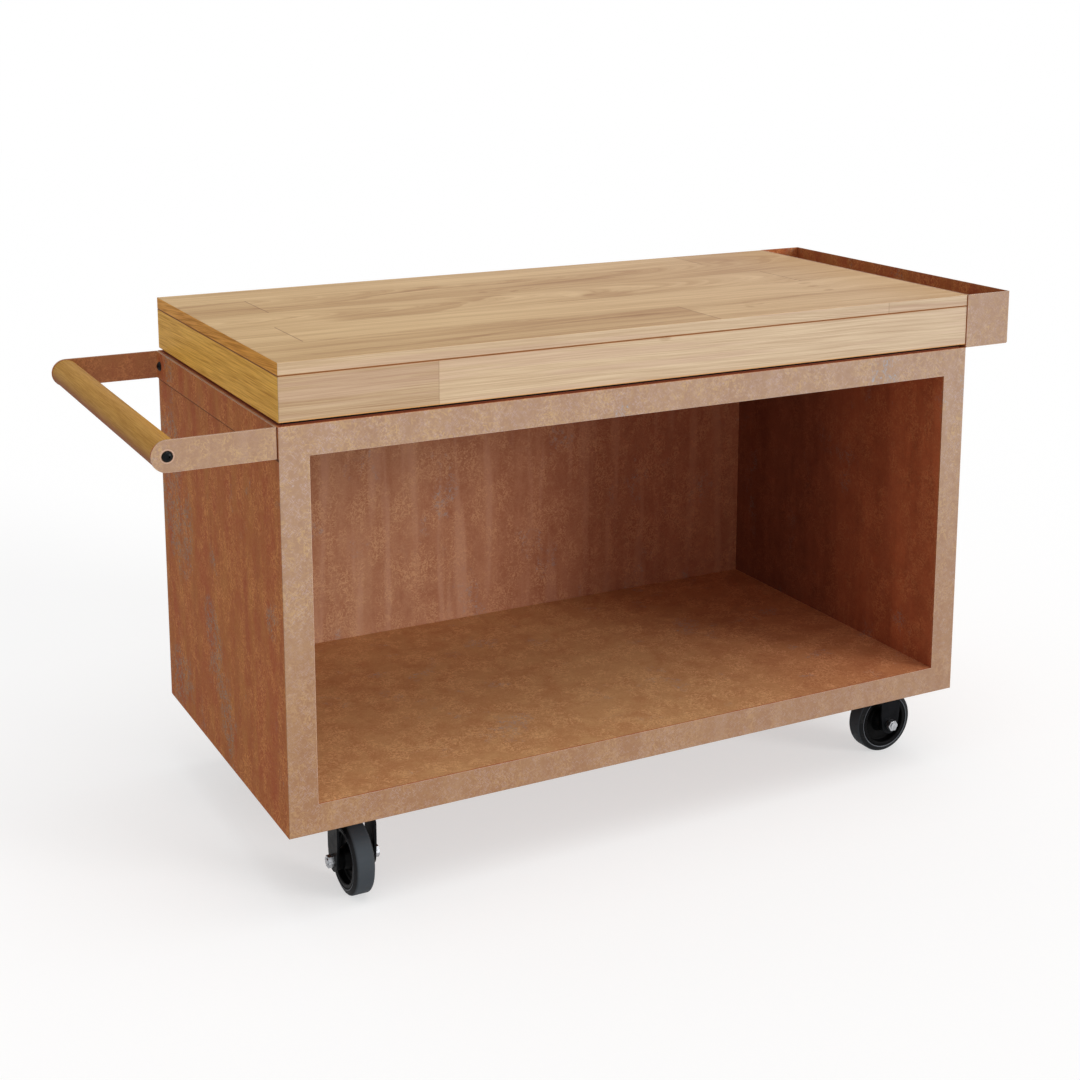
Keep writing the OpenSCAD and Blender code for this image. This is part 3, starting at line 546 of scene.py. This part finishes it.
# Colours of the wood by face, light and dark, on the top and the front from left to right, and
# deeper and more saturated on the side faces as a painted shade
WOOD_TOP_LEFT = (paint(216, 183, 134), paint(158, 118, 78))
WOOD_TOP_RIGHT = (paint(212, 178, 138), paint(159, 118, 88))
WOOD_FRONT_LEFT = (paint(216, 189, 154), paint(168, 134, 100))
WOOD_FRONT_RIGHT = (paint(219, 196, 166), paint(166, 133, 106))
APRON_SIDE_SHADED = (paint(240, 186, 80), paint(164, 98, 26))
BOARD_SIDE_SHADED = (paint(227, 160, 60), paint(149, 82, 16))
DOWEL_WOOD = (paint(208, 158, 74), paint(134, 84, 30))

# Single colours of the wood: a painted golden shade from plants on the top beside the planter,
# the front's blush, painted highlights on rounded edges and along the foot, painted shade in the
# groove, the joints of the worktop and of the front apron, and painted shade under the handle
TOP_PLANT_SHADE = paint(192, 148, 86)
FRONT_BLUSH = paint(200, 166, 148)
WOOD_EDGE_HIGHLIGHT = paint(238, 214, 172)
WOOD_FOOT_HIGHLIGHT = paint(226, 156, 72)
WOOD_GROOVE_SHADE = paint(168, 102, 48)
STAVE_JOINT = paint(120, 82, 52)
BOARD_JOINT = paint(140, 104, 76)
DOWEL_SHADE_UNDER = paint(132, 62, 12)

# Layers of wood lines: how fast each changes along the grain and across it per metre, and its
# share of the tone
BROAD_LINES = [(1.4, 30, 0.16), (2.6, 110, 0.14), (7, 420, 0.18)]
STRAIGHT_LINES = [(1.2, 60, 0.12), (2.4, 210, 0.20), (8, 620, 0.24)]
SIDE_LINES = [(2.0, 50, 0.10), (5.0, 230, 0.20), (12, 640, 0.34)]

# Growth rings on the upright faces: the height and the depth of the heart that they run round,
# how far they wander, and their lines
BOARD_FRONT_RINGS = (0.75, 0.04, 0.012, STRAIGHT_LINES)
BOARD_SIDE_RINGS = (0.84, 0.10, 0.008, SIDE_LINES)
APRON_FRONT_RINGS = (0.60, 0.03, 0.012, STRAIGHT_LINES)
APRON_SIDE_RINGS = (0.70, 0.03, 0.008, SIDE_LINES)


def soft_ellipse(kit, x, y, centre, half_x, half_y):
    """1 in the middle of a soft ellipse and 0 outside it."""
    off_x = kit.times(kit.minus(x, centre[0]), 1 / half_x)
    off_y = kit.times(kit.minus(y, centre[1]), 1 / half_y)
    reach = kit.plus(kit.times(off_x, off_x), kit.times(off_y, off_y))
    return kit.ramp(reach, 1.6, 0.1)


def between(kit, x, ends):
    """1 between two places along X, with soft ends."""
    start, stop = ends
    starts = kit.ramp(x, start - FADE_OUTSIDE, start + FADE_INSIDE)
    stops = kit.ramp(x, stop + FADE_OUTSIDE, stop - FADE_INSIDE)
    return kit.times(starts, stops)


def bent_line(kit, x, y, ends, bend, levels, half_width):
    """1 on a soft line along X that steps from one place along Y to another."""
    path = kit.ramp(x, *bend, *levels)
    beside = kit.ramp(kit.distance(y, path), half_width * 1.8, half_width * 0.2)
    return kit.times(beside, between(kit, x, ends))


def shaded_side(kit, x, y, ends, bend, levels, reach):
    """1 just beyond a line along X, fading to 0 a reach further along Y."""
    beyond = kit.minus(y, kit.ramp(x, *bend, *levels))
    beside = kit.times(kit.ramp(beyond, -0.003, 0.004), kit.ramp(beyond, reach, 0.0))
    return kit.times(beside, between(kit, x, ends))


def figure(kit, along, across, depth, seed, wave, lines):
    """Growth rings cut lengthwise, as a tone about 0.

    wave is how far the rings wander in metres, and lines holds for each layer of them how fast
    it changes along the grain and across it, and its share of the tone.
    """
    wobble = kit.noise(kit.join(kit.times(along, 1.8), kit.times(across, 6.0), seed), 1, detail=2)
    reach = kit.plus(depth, kit.times(along, 0.07))
    radius = kit.math("SQRT", kit.plus(kit.math("POWER", across, 2.0), kit.math("POWER", reach, 2.0)))
    radius = kit.plus(radius, kit.times(kit.minus(wobble, 0.5), wave))
    tone = 0.0
    for lengthwise, crosswise, share in lines:
        place = kit.join(kit.times(along, lengthwise), kit.times(radius, crosswise), seed)
        tone = kit.plus(tone, kit.ramp(kit.noise(place, 1, detail=2), 0.34, 0.66, -share, share))
    pores = kit.noise(kit.join(kit.times(along, 60), kit.times(radius, 1500), seed), 1, detail=1)
    return kit.minus(tone, kit.ramp(pores, 0.64, 0.74, 0.0, 0.2))


def upright_figure(kit, along, z, seed, rings):
    """The growth rings on an upright face."""
    heart, depth, wave, lines = rings
    return figure(kit, along, kit.minus(z, heart), depth, seed, wave, lines)


def shade_of(kit, tone, colours):
    """The wood's colour for a tone from the darkest at -0.5 to the lightest at 1."""
    light, dark = colours
    return kit.mix(kit.ramp_line(tone, -0.5, 1.0), dark, light)


def by_face(kit, tone, side_colours):
    """The wood's colour on its top, its front and back, and its left and right faces."""
    x = kit.split(kit.point)[X]
    facing = kit.split(kit.facing)
    to_right = kit.ramp_line(x, -0.6, 0.7)
    top = kit.mix(to_right, shade_of(kit, tone, WOOD_TOP_LEFT), shade_of(kit, tone, WOOD_TOP_RIGHT))
    # Painted golden shade from plants on the top beside the planter
    top = kit.mix(kit.ramp(x, 0.54, 0.72, 0.0, 0.35), top, TOP_PLANT_SHADE)
    front = kit.mix(to_right, shade_of(kit, tone, WOOD_FRONT_LEFT), shade_of(kit, tone, WOOD_FRONT_RIGHT))
    blush = kit.noise(kit.point, 1, detail=3, stretch=(2.6, 1, 80))
    front = kit.mix(kit.ramp(blush, 0.48, 0.62, 0.0, 0.28), front, FRONT_BLUSH)
    colour = kit.mix(kit.ramp(kit.size(facing[Y]), 0.6, 0.8), top, front)
    # Painted shade: the left and right faces take deeper, more saturated colours
    return kit.mix(kit.ramp(kit.size(facing[X]), 0.6, 0.8), colour, shade_of(kit, tone, side_colours))


def wood_finish(kit, tone, colour):
    """Oiled wood, with painted highlights on the rounded edges and along the foot, and an orange painted
    shade in the groove.
    """
    z = kit.split(kit.point)[Z]
    # Orange painted shade in the groove, tinted as by bounced light
    groove = kit.ramp(kit.distance(z, GROOVE_Z), 0.0019, 0.0010)
    # Painted highlight along the foot
    foot = kit.ramp(z, FOOT_Z + 0.0022, FOOT_Z + 0.0006)
    # Painted highlight on the rounded edges
    colour = kit.mix(kit.times(kit.edge(0.0016), 0.45), colour, WOOD_EDGE_HIGHLIGHT)
    colour = kit.mix(kit.times(foot, 0.7), colour, WOOD_FOOT_HIGHLIGHT)
    kit.colour(kit.mix(kit.times(groove, 0.85), colour, WOOD_GROOVE_SHADE))
    kit.roughness(kit.ramp(tone, 0.0, 1.0, 0.62, 0.52))
    kit.bump(tone, 0.00012, edge=0.0014)
    return kit.material


def row_places():
    """Where each row of staves starts, as a share of the worktop along Y."""
    return [(row[0] + WORKTOP_HALF) / (2 * WORKTOP_HALF) for row in STAVE_ROWS]


def stave_cut(kit, share, in_front):
    """The place along X where a row of staves is cut, with share from 0 in front to 1 behind.

    The places go through the steps as shares of the way from -1 to 1.
    """
    cuts = [(place, ((row[1] + 1) / 2, 0, 0)) for place, row in zip(row_places(), STAVE_ROWS)]
    on_top = kit.minus(kit.times(kit.steps(share, cuts)[0], 2.0), 1.0)
    return kit.either(in_front, on_top, FRONT_CUT)


def stave_traits(kit, x, y, in_front):
    """The tone, heart and depth of the stave at a place, which side of its row's cut it is on,
    and where that cut is.

    The hearts go through the steps with half a metre added, so that none is below 0.
    """
    share = kit.ramp_line(y, -WORKTOP_HALF, WORKTOP_HALF)
    cut = stave_cut(kit, share, in_front)
    halves = []
    for staves in zip(*[row[2:] for row in STAVE_ROWS]):
        levels = [(place, (tone, heart + 0.5, depth))
                  for place, (tone, heart, depth) in zip(row_places(), staves)]
        halves.append(kit.steps(share, levels))
    right = kit.above(x, cut)
    tone, heart, depth = [kit.either(right, *choices) for choices in zip(*halves)]
    return tone, kit.minus(heart, 0.5), depth, right, cut


def row_masks(kit, y):
    """For each row of staves, 1 inside it and 0 elsewhere."""
    starts = [row[0] for row in STAVE_ROWS] + [WORKTOP_HALF]
    return [kit.times(kit.above(y, near), kit.below(y, far)) for near, far in zip(starts, starts[1:])]


def worktop_marks(kit, x, y):
    """How much darker flames, streaks and knots make the top, and how far knots bend its grain."""
    rows = row_masks(kit, y)
    dark = [0.0] * len(rows)
    bend = 0.0
    for row, centre, halves, strength in FLAMES:
        dark[row] = kit.plus(dark[row], kit.times(soft_ellipse(kit, x, y, centre, *halves), strength))
    for row, ends, turn, levels, half_width, strength in STREAKS:
        line = bent_line(kit, x, y, ends, turn, levels, half_width)
        dark[row] = kit.plus(dark[row], kit.times(line, strength))
    for row, ends, turn, levels, reach, strength in SHADOWS:
        side = shaded_side(kit, x, y, ends, turn, levels, reach)
        dark[row] = kit.plus(dark[row], kit.times(side, strength))
    for row, centre, size, strength in KNOTS:
        core = soft_ellipse(kit, x, y, centre, size * 0.9, size * 0.45)
        dark[row] = kit.plus(dark[row], kit.times(core, 0.5 * strength))
        bulge = soft_ellipse(kit, x, y, centre, size * 5, size * 2.2)
        bend = kit.plus(bend, kit.times(bulge, size * 0.9))
    total = 0.0
    for share, mask in zip(dark, rows):
        total = kit.plus(total, kit.times(share, mask))
    return total, bend


def joint_lines(kit, x, y, cut, side, in_front):
    """How dark the hairline joints between the staves are."""
    joint = kit.times(kit.ramp(kit.distance(x, cut), 0.0014, 0.0006), kit.minus(1.0, side))
    line = kit.times(joint, kit.either(in_front, 0.7, 0.25))
    on_top = kit.ramp(kit.split(kit.facing)[Z], 0.6, 0.8)
    for row in STAVE_ROWS[1:]:
        seam = kit.ramp(kit.distance(y, row[0]), 0.0007, 0.0002)
        line = kit.larger(line, kit.times(kit.times(seam, on_top), 0.3))
    return line


def worktop_material():
    """Edge-glued staves with their own tone, rings, flames and knots, and hairline joints."""
    kit = Kit("worktop_wood", Specular_IOR_Level=0.1)
    x, y, z = kit.split(kit.point)
    side = kit.faces_along(X)
    in_front = kit.faces_along(Y)
    base, heart, depth, right, cut = stave_traits(kit, x, y, in_front)
    seed = kit.plus(kit.times(base, 31.0), kit.times(right, 7.0))
    wander = kit.noise(kit.point, 1, detail=3, rough=0.6, stretch=(9, 30, 9))
    dark, bend = worktop_marks(kit, x, kit.plus(y, kit.ramp(wander, 0.3, 0.7, -0.007, 0.007)))
    across = kit.plus(kit.minus(y, heart), bend)
    lines = figure(kit, x, across, depth, seed, 0.03, BROAD_LINES)
    front_lines = upright_figure(kit, x, z, 3.0, BOARD_FRONT_RINGS)
    side_lines = upright_figure(kit, y, z, 8.0, BOARD_SIDE_RINGS)
    tone = kit.minus(kit.plus(base, lines), dark)
    tone = kit.either(in_front, tone, kit.plus(kit.either(right, 0.5, 0.38), front_lines))
    tone = kit.either(side, tone, kit.plus(0.55, side_lines))
    colour = by_face(kit, tone, BOARD_SIDE_SHADED)
    line = joint_lines(kit, x, y, cut, side, in_front)
    return wood_finish(kit, tone, kit.mix(line, colour, STAVE_JOINT))


def apron_material():
    """Boards with straight grain, the front one glued from a darker and a paler piece."""
    kit = Kit("apron_wood", Specular_IOR_Level=0.1)
    x, y, z = kit.split(kit.point)
    side = kit.faces_along(X)
    in_front = kit.ramp(kit.split(kit.facing)[Y], -0.6, -0.8)
    right = kit.above(x, APRON_JOINT)
    base = kit.either(right, 0.12, 0.62)
    seed = kit.times(right, 9.0)
    lines = upright_figure(kit, x, z, seed, APRON_FRONT_RINGS)
    side_lines = upright_figure(kit, y, z, seed, APRON_SIDE_RINGS)
    centre, halves = APRON_KNOT
    knot = soft_ellipse(kit, x, z, centre, *halves)
    tone = kit.minus(kit.plus(base, lines), kit.times(knot, 0.5))
    tone = kit.either(side, tone, kit.plus(0.62, side_lines))
    colour = by_face(kit, tone, APRON_SIDE_SHADED)
    joint = kit.times(kit.ramp(kit.distance(x, APRON_JOINT), 0.0009, 0.0003), in_front)
    return wood_finish(kit, tone, kit.mix(kit.times(joint, 0.45), colour, BOARD_JOINT))


def dowel_material():
    """Golden turned wood with fine grain along the bar, with painted shade underneath."""
    kit = Kit("handle_wood", Specular_IOR_Level=0.04)
    broad = kit.noise(kit.point, 1, detail=3, stretch=(90, 3.5, 90))
    fine = kit.noise(kit.point, 1, detail=3, rough=0.65, stretch=(820, 16, 820))
    tone = kit.plus(kit.ramp(broad, 0.36, 0.64, 0.0, 0.2), kit.ramp(fine, 0.36, 0.64, 0.05, 0.5))
    # Painted shade on the dowel's underside
    under = kit.ramp(kit.split(kit.facing)[Z], 0.45, -0.50, 0.0, 0.9)
    kit.colour(kit.mix(under, shade_of(kit, tone, DOWEL_WOOD), DOWEL_SHADE_UNDER))
    kit.roughness(kit.ramp(tone, 0.0, 1.0, 0.56, 0.46))
    kit.bump(tone, 0.00008)
    return kit.material


def powder_coat():
    """Satin black powder coat with fine orange peel, greyer on its edges with wear and a painted
    highlight.
    """
    kit = Kit("black_powder_coat", Specular_IOR_Level=0.04)
    peel = kit.noise(kit.point, 900, detail=2)
    cloud = kit.noise(kit.point, 60, detail=3)
    # Wear and a painted highlight on the edges
    worn_lit_edge = kit.times(kit.edge(0.0008), 0.5)
    shade = kit.mix(kit.ramp(cloud, 0.35, 0.65), paint(15, 16, 18), paint(21, 22, 25))
    kit.colour(kit.mix(worn_lit_edge, shade, paint(54, 57, 62)))
    kit.roughness(kit.ramp(cloud, 0.35, 0.65, 0.30, 0.42))
    kit.bump(peel, 0.00006, edge=0.0008)
    return kit.material


def black_oxide():
    """The screws' blackened steel, faintly spotted."""
    kit = Kit("black_oxide", Specular_IOR_Level=0.12)
    spots = kit.noise(kit.point, 700, detail=3)
    kit.colour(kit.mix(kit.ramp(spots, 0.35, 0.65), paint(6, 8, 10), paint(13, 16, 19)))
    kit.roughness(kit.ramp(spots, 0.35, 0.65, 0.24, 0.36))
    kit.bump(spots, 0.00003, edge=0.0004)
    return kit.material


def zinc_plate():
    """Bright zinc with soft clouds and fine turning marks."""
    kit = Kit("zinc_plate", Metallic=1.0)
    cloud = kit.noise(kit.point, 180, detail=4)
    marks = kit.noise(kit.point, 1, detail=2, stretch=(1400, 1400, 260))
    tone = kit.plus(kit.ramp(cloud, 0.35, 0.65, 0.0, 0.7), kit.ramp(marks, 0.4, 0.6, 0.0, 0.3))
    kit.colour(kit.mix(tone, paint(150, 152, 156), paint(196, 198, 202)))
    kit.roughness(kit.ramp(tone, 0.0, 1.0, 0.42, 0.27))
    kit.bump(tone, 0.00004, edge=0.0005)
    return kit.material


def moulded_plastic():
    """The wheels' black plastic, with soft flow marks and a fine grain."""
    kit = Kit("moulded_plastic", Specular_IOR_Level=0.05)
    grain = kit.noise(kit.point, 1600, detail=2)
    flow = kit.noise(kit.point, 45, detail=3, twist=1.5)
    kit.colour(kit.mix(kit.ramp(flow, 0.35, 0.65), paint(9, 9, 10), paint(15, 15, 16)))
    kit.roughness(kit.ramp(flow, 0.35, 0.65, 0.32, 0.44))
    kit.bump(grain, 0.00004, edge=0.0006)
    return kit.material


# The heights between which the strip's foot turns rusty, the radii between which a tyre's side
# turns into its tread, and the radius of its bead
STRIP_FOOT = (0.8268, 0.8256)
TREAD_RADII = (0.0600, 0.0615)
BEAD_RADIUS = 0.0522


def strip_rubber():
    """Black rubber, brown with rust from the deck along its foot."""
    kit = Kit("strip_rubber", Roughness=0.8, Specular_IOR_Level=0.1)
    specks = kit.noise(kit.point, 1100, detail=2)
    rusty = kit.ramp(kit.split(kit.point)[Z], *STRIP_FOOT)
    shade = kit.mix(kit.ramp(specks, 0.35, 0.65), paint(20, 17, 15), paint(28, 24, 21))
    kit.colour(kit.mix(rusty, shade, paint(140, 74, 50)))
    kit.bump(specks, 0.00008)
    return kit.material


def tyre_rubber(name, axis):
    """Dark rubber, greyer on the tread, with a painted highlight along the bead at the rim."""
    kit = Kit(name + "_rubber", Specular_IOR_Level=0.1)
    low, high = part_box(name + "_tyre")
    middle = [(a + b) / 2 for a, b in zip(low, high)]
    place = kit.vector("SUBTRACT", kit.point, middle)
    round_plane = (0, 1, 1) if axis == X else (1, 0, 1)
    flat = kit.vector("MULTIPLY", place, round_plane)
    radius = kit.node("VectorMath", {0: flat}, operation="LENGTH").outputs["Value"]
    tread = kit.ramp(radius, *TREAD_RADII)
    bead = kit.ramp(kit.distance(radius, BEAD_RADIUS), 0.0012, 0.0003)
    scuffs = kit.noise(kit.point, 90, detail=4, rough=0.65)
    specks = kit.noise(kit.point, 1300, detail=2)
    shade = kit.mix(tread, paint(24, 25, 27), paint(64, 69, 74))
    # Painted highlight along the bead
    shade = kit.mix(kit.times(bead, 0.7), shade, paint(116, 121, 128))
    kit.colour(kit.mix(kit.ramp(scuffs, 0.5, 0.72, 0.0, 0.22), shade, paint(86, 85, 82)))
    kit.roughness(kit.either(bead, kit.ramp(scuffs, 0.35, 0.65, 0.52, 0.68), 0.3))
    kit.bump(kit.plus(specks, kit.times(scuffs, 0.5)), 0.00008)
    return kit.material


# The crease under the planter, along X and Z, the radius of the planter's bend, and the weld in
# the crease: half its length, its foot on the cabinet's side, how far it sinks into the sheets,
# its crown, its ripples' pitch with the rings of corners in each, and how long its ends are
CREASE = (0.723, 0.825)
BEND_RADIUS = 0.003
WELD_HALF = 0.3373
WELD_FOOT = 0.0026
WELD_SINK = 0.0001
WELD_CROWN = 0.0004
WELD_PITCH = 0.004
WELD_RINGS = 3
WELD_END = 0.008


def add_object(name, data):
    """A new object in the scene."""
    made = bpy.data.objects.new(name, data)
    bpy.context.scene.collection.objects.link(made)
    return made


def weld_section(y):
    """The weld's outline at a place along Y: the planter's bend above, a rippled face below."""
    x, z = CREASE
    fade = min(1.0, (WELD_HALF - abs(y)) / WELD_END)
    foot = WELD_FOOT * fade
    crown = (WELD_CROWN + WELD_CROWN * abs(math.sin(math.pi * y / WELD_PITCH))) * fade
    outline = [(x - WELD_SINK, z + BEND_RADIUS)]
    # The bend's quarter that looks at the crease, in steps of 30 degrees
    for turn in range(180, 271, 30):
        angle = math.radians(turn)
        outline.append((x + BEND_RADIUS * (1 + math.cos(angle)),
                        z + BEND_RADIUS * (1 + math.sin(angle)) + WELD_SINK))
    for share in (0.25, 0.5, 0.75, 1.0):
        bulge = crown * 4 * share * (1 - share)
        outline.append((x + BEND_RADIUS * (1 - share) + bulge, z - foot * share - bulge))
    outline.append((x - WELD_SINK, z - foot))
    return [(across, y, up) for across, up in outline]


def weld_mesh():
    """Sections of the weld joined into one closed skin."""
    count = round(2 * WELD_RINGS * WELD_HALF / WELD_PITCH)
    rings = [weld_section(WELD_HALF * (2 * i / count - 1)) for i in range(count + 1)]
    size = len(rings[0])
    corners = [corner for ring in rings for corner in ring]
    faces = [tuple(range(size)), tuple(range(count * size, (count + 1) * size))]
    for i in range(count):
        for j in range(size):
            side = (j + 1) % size
            faces.append((i * size + j, i * size + side,
                          (i + 1) * size + side, (i + 1) * size + j))
    mesh = bpy.data.meshes.new("planter_weld")
    mesh.from_pydata(corners, [], faces)
    work = bmesh.new()
    work.from_mesh(mesh)
    bmesh.ops.recalc_face_normals(work, faces=work.faces)
    work.to_mesh(mesh)
    work.free()
    return mesh


def planter_weld(material):
    """The weld in the crease between the planter's lower bend and the cabinet's right side."""
    mesh = weld_mesh()
    mesh.materials.append(material)
    made = add_object("planter_weld", mesh)
    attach(made, "cabinet")


def dress(nodes, material):
    """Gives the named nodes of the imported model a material."""
    for name in nodes:
        for slot in frame["nodes"][name].material_slots:
            slot.material = material


def dress_by_slot():
    """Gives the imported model's nodes their slots' materials, and adds the planter's weld."""
    by_slot = {
        "corten": rust("rust_outside", RUST_OUTSIDE, threads=0.8, outside=True),
        "worktop_wood": worktop_material(),
        "apron_wood": apron_material(),
        "handle_wood": dowel_material(),
        "black_steel": powder_coat(),
        "black_screw": black_oxide(),
        "zinc": zinc_plate(),
        "wheel_plastic": moulded_plastic(),
        "strip_rubber": strip_rubber(),
    }
    for piece in frame["record"]["subparts"]:
        if piece["material_slot"] in by_slot:
            dress([piece["node"]], by_slot[piece["material_slot"]])
    planter_weld(by_slot["corten"])


def dress_by_name():
    """Gives the deck and the bay's sheets steel of their own, and each tyre its rubber."""
    dress(["top_deck"], rust("rust_deck", RUST_DECK))
    # Painted light on the back panel's left and painted shade on its right
    back = rust("rust_back", RUST_BACK_LIT_LEFT, RUST_BACK_SHADED_RIGHT, (X, -0.3, 0.62), runs=0.5)
    dress(["back_panel", "bay_left_wall"], back)
    # Painted light at the wall's front and painted shade towards its back
    wall = rust("rust_wall", RUST_WALL_LIT_FRONT, RUST_WALL_SHADED_BACK, (Y, -0.35, 0.18), threads=0.5)
    dress(["bay_right_wall"], wall)
    # Painted light on the floor's left and painted shade towards its right
    base = rust("rust_floor", RUST_FLOOR_LIT_LEFT, RUST_FLOOR_SHADED_RIGHT, (X, 0.1, 0.66), threads=1.0)
    dress(["bay_floor"], base)
    for name, axis in CASTERS.items():
        dress([name + "_tyre"], tyre_rubber(name, axis))


def camera():
    """The photograph's camera, made the scene's."""
    lens = bpy.data.cameras.new("camera")
    lens.sensor_width = SENSOR_WIDTH
    lens.lens = SENSOR_WIDTH * FOCAL_LENGTH / PHOTO_SIDE
    lens.shift_y = VIEW_SHIFT / PHOTO_SIDE
    lens.clip_end = SIGHT
    made = add_object("camera", lens)
    made.location = EYE
    made.rotation_euler = (math.radians(90 - EYE_PITCH), 0, -math.radians(EYE_YAW))
    bpy.context.scene.camera = made


def seen_directly(tree):
    """1 for a ray that comes from the camera, a reflection or through glass, else 0."""
    path = tree.nodes.new("ShaderNodeLightPath")
    share = path.outputs["Is Camera Ray"]
    for name in ("Is Glossy Ray", "Is Transmission Ray"):
        largest = tree.nodes.new("ShaderNodeMath")
        largest.operation = "MAXIMUM"
        tree.links.new(share, largest.inputs[0])
        tree.links.new(path.outputs[name], largest.inputs[1])
        share = largest.outputs[0]
    return share


def mixed_shaders(tree, share, first, second):
    """A shader that goes from first to second as share goes from 0 to 1."""
    mix = tree.nodes.new("ShaderNodeMixShader")
    tree.links.new(share, mix.inputs[0])
    tree.links.new(first, mix.inputs[1])
    tree.links.new(second, mix.inputs[2])
    return mix.outputs[0]


def sky():
    """A level white sky, brighter where it is seen than as a light."""
    world = bpy.data.worlds.new("sky")
    world.use_nodes = True
    bpy.context.scene.world = world
    tree = world.node_tree
    tree.nodes.clear()
    shades = []
    for level in (SKY_LIGHT, SKY_SEEN):
        shade = tree.nodes.new("ShaderNodeBackground")
        shade.inputs["Color"].default_value = (1, 1, 1, 1)
        shade.inputs["Strength"].default_value = level
        shades.append(shade.outputs[0])
    output = tree.nodes.new("ShaderNodeOutputWorld")
    tree.links.new(mixed_shaders(tree, seen_directly(tree), *shades), output.inputs[0])


def lamp(name, strength, height, turn, softness):
    """A far lamp, whose shadows are softer the wider the angle that it fills."""
    light = bpy.data.lights.new(name, "SUN")
    light.energy = strength
    light.angle = math.radians(softness)
    made = add_object(name, light)
    made.rotation_euler = (math.radians(90 - height), 0, math.radians(turn))


def matt(tree, grey):
    """A matt grey shader."""
    made = tree.nodes.new("ShaderNodeBsdfDiffuse")
    made.inputs["Color"].default_value = (grey, grey, grey, 1)
    return made.outputs[0]


def floor_material():
    """Matt grey that glows where it is seen, so that it looks white and keeps shadows."""
    material = bpy.data.materials.new("pale_floor")
    material.use_nodes = True
    tree = material.node_tree
    tree.nodes.clear()
    glow = tree.nodes.new("ShaderNodeEmission")
    glow.inputs["Strength"].default_value = FLOOR_GLOW
    pale = tree.nodes.new("ShaderNodeAddShader")
    tree.links.new(matt(tree, FLOOR_SHADOW_GREY), pale.inputs[0])
    tree.links.new(glow.outputs[0], pale.inputs[1])
    both = mixed_shaders(tree, seen_directly(tree), matt(tree, FLOOR_GREY), pale.outputs[0])
    output = tree.nodes.new("ShaderNodeOutputMaterial")
    tree.links.new(both, output.inputs[0])
    return material


def floor():
    """The floor that the object stands on."""
    mesh = bpy.data.meshes.new("floor")
    quarters = ((-1, -1), (1, -1), (1, 1), (-1, 1))
    corners = [(x * FLOOR_HALF, y * FLOOR_HALF, 0) for x, y in quarters]
    mesh.from_pydata(corners, [], [(0, 1, 2, 3)])
    mesh.materials.append(floor_material())
    made = add_object("floor", mesh)


camera()
sky()
for settings in LAMPS:
    lamp(*settings)
floor()
bpy.context.scene.view_settings.view_transform = "Standard"
dress_by_slot()
dress_by_name()
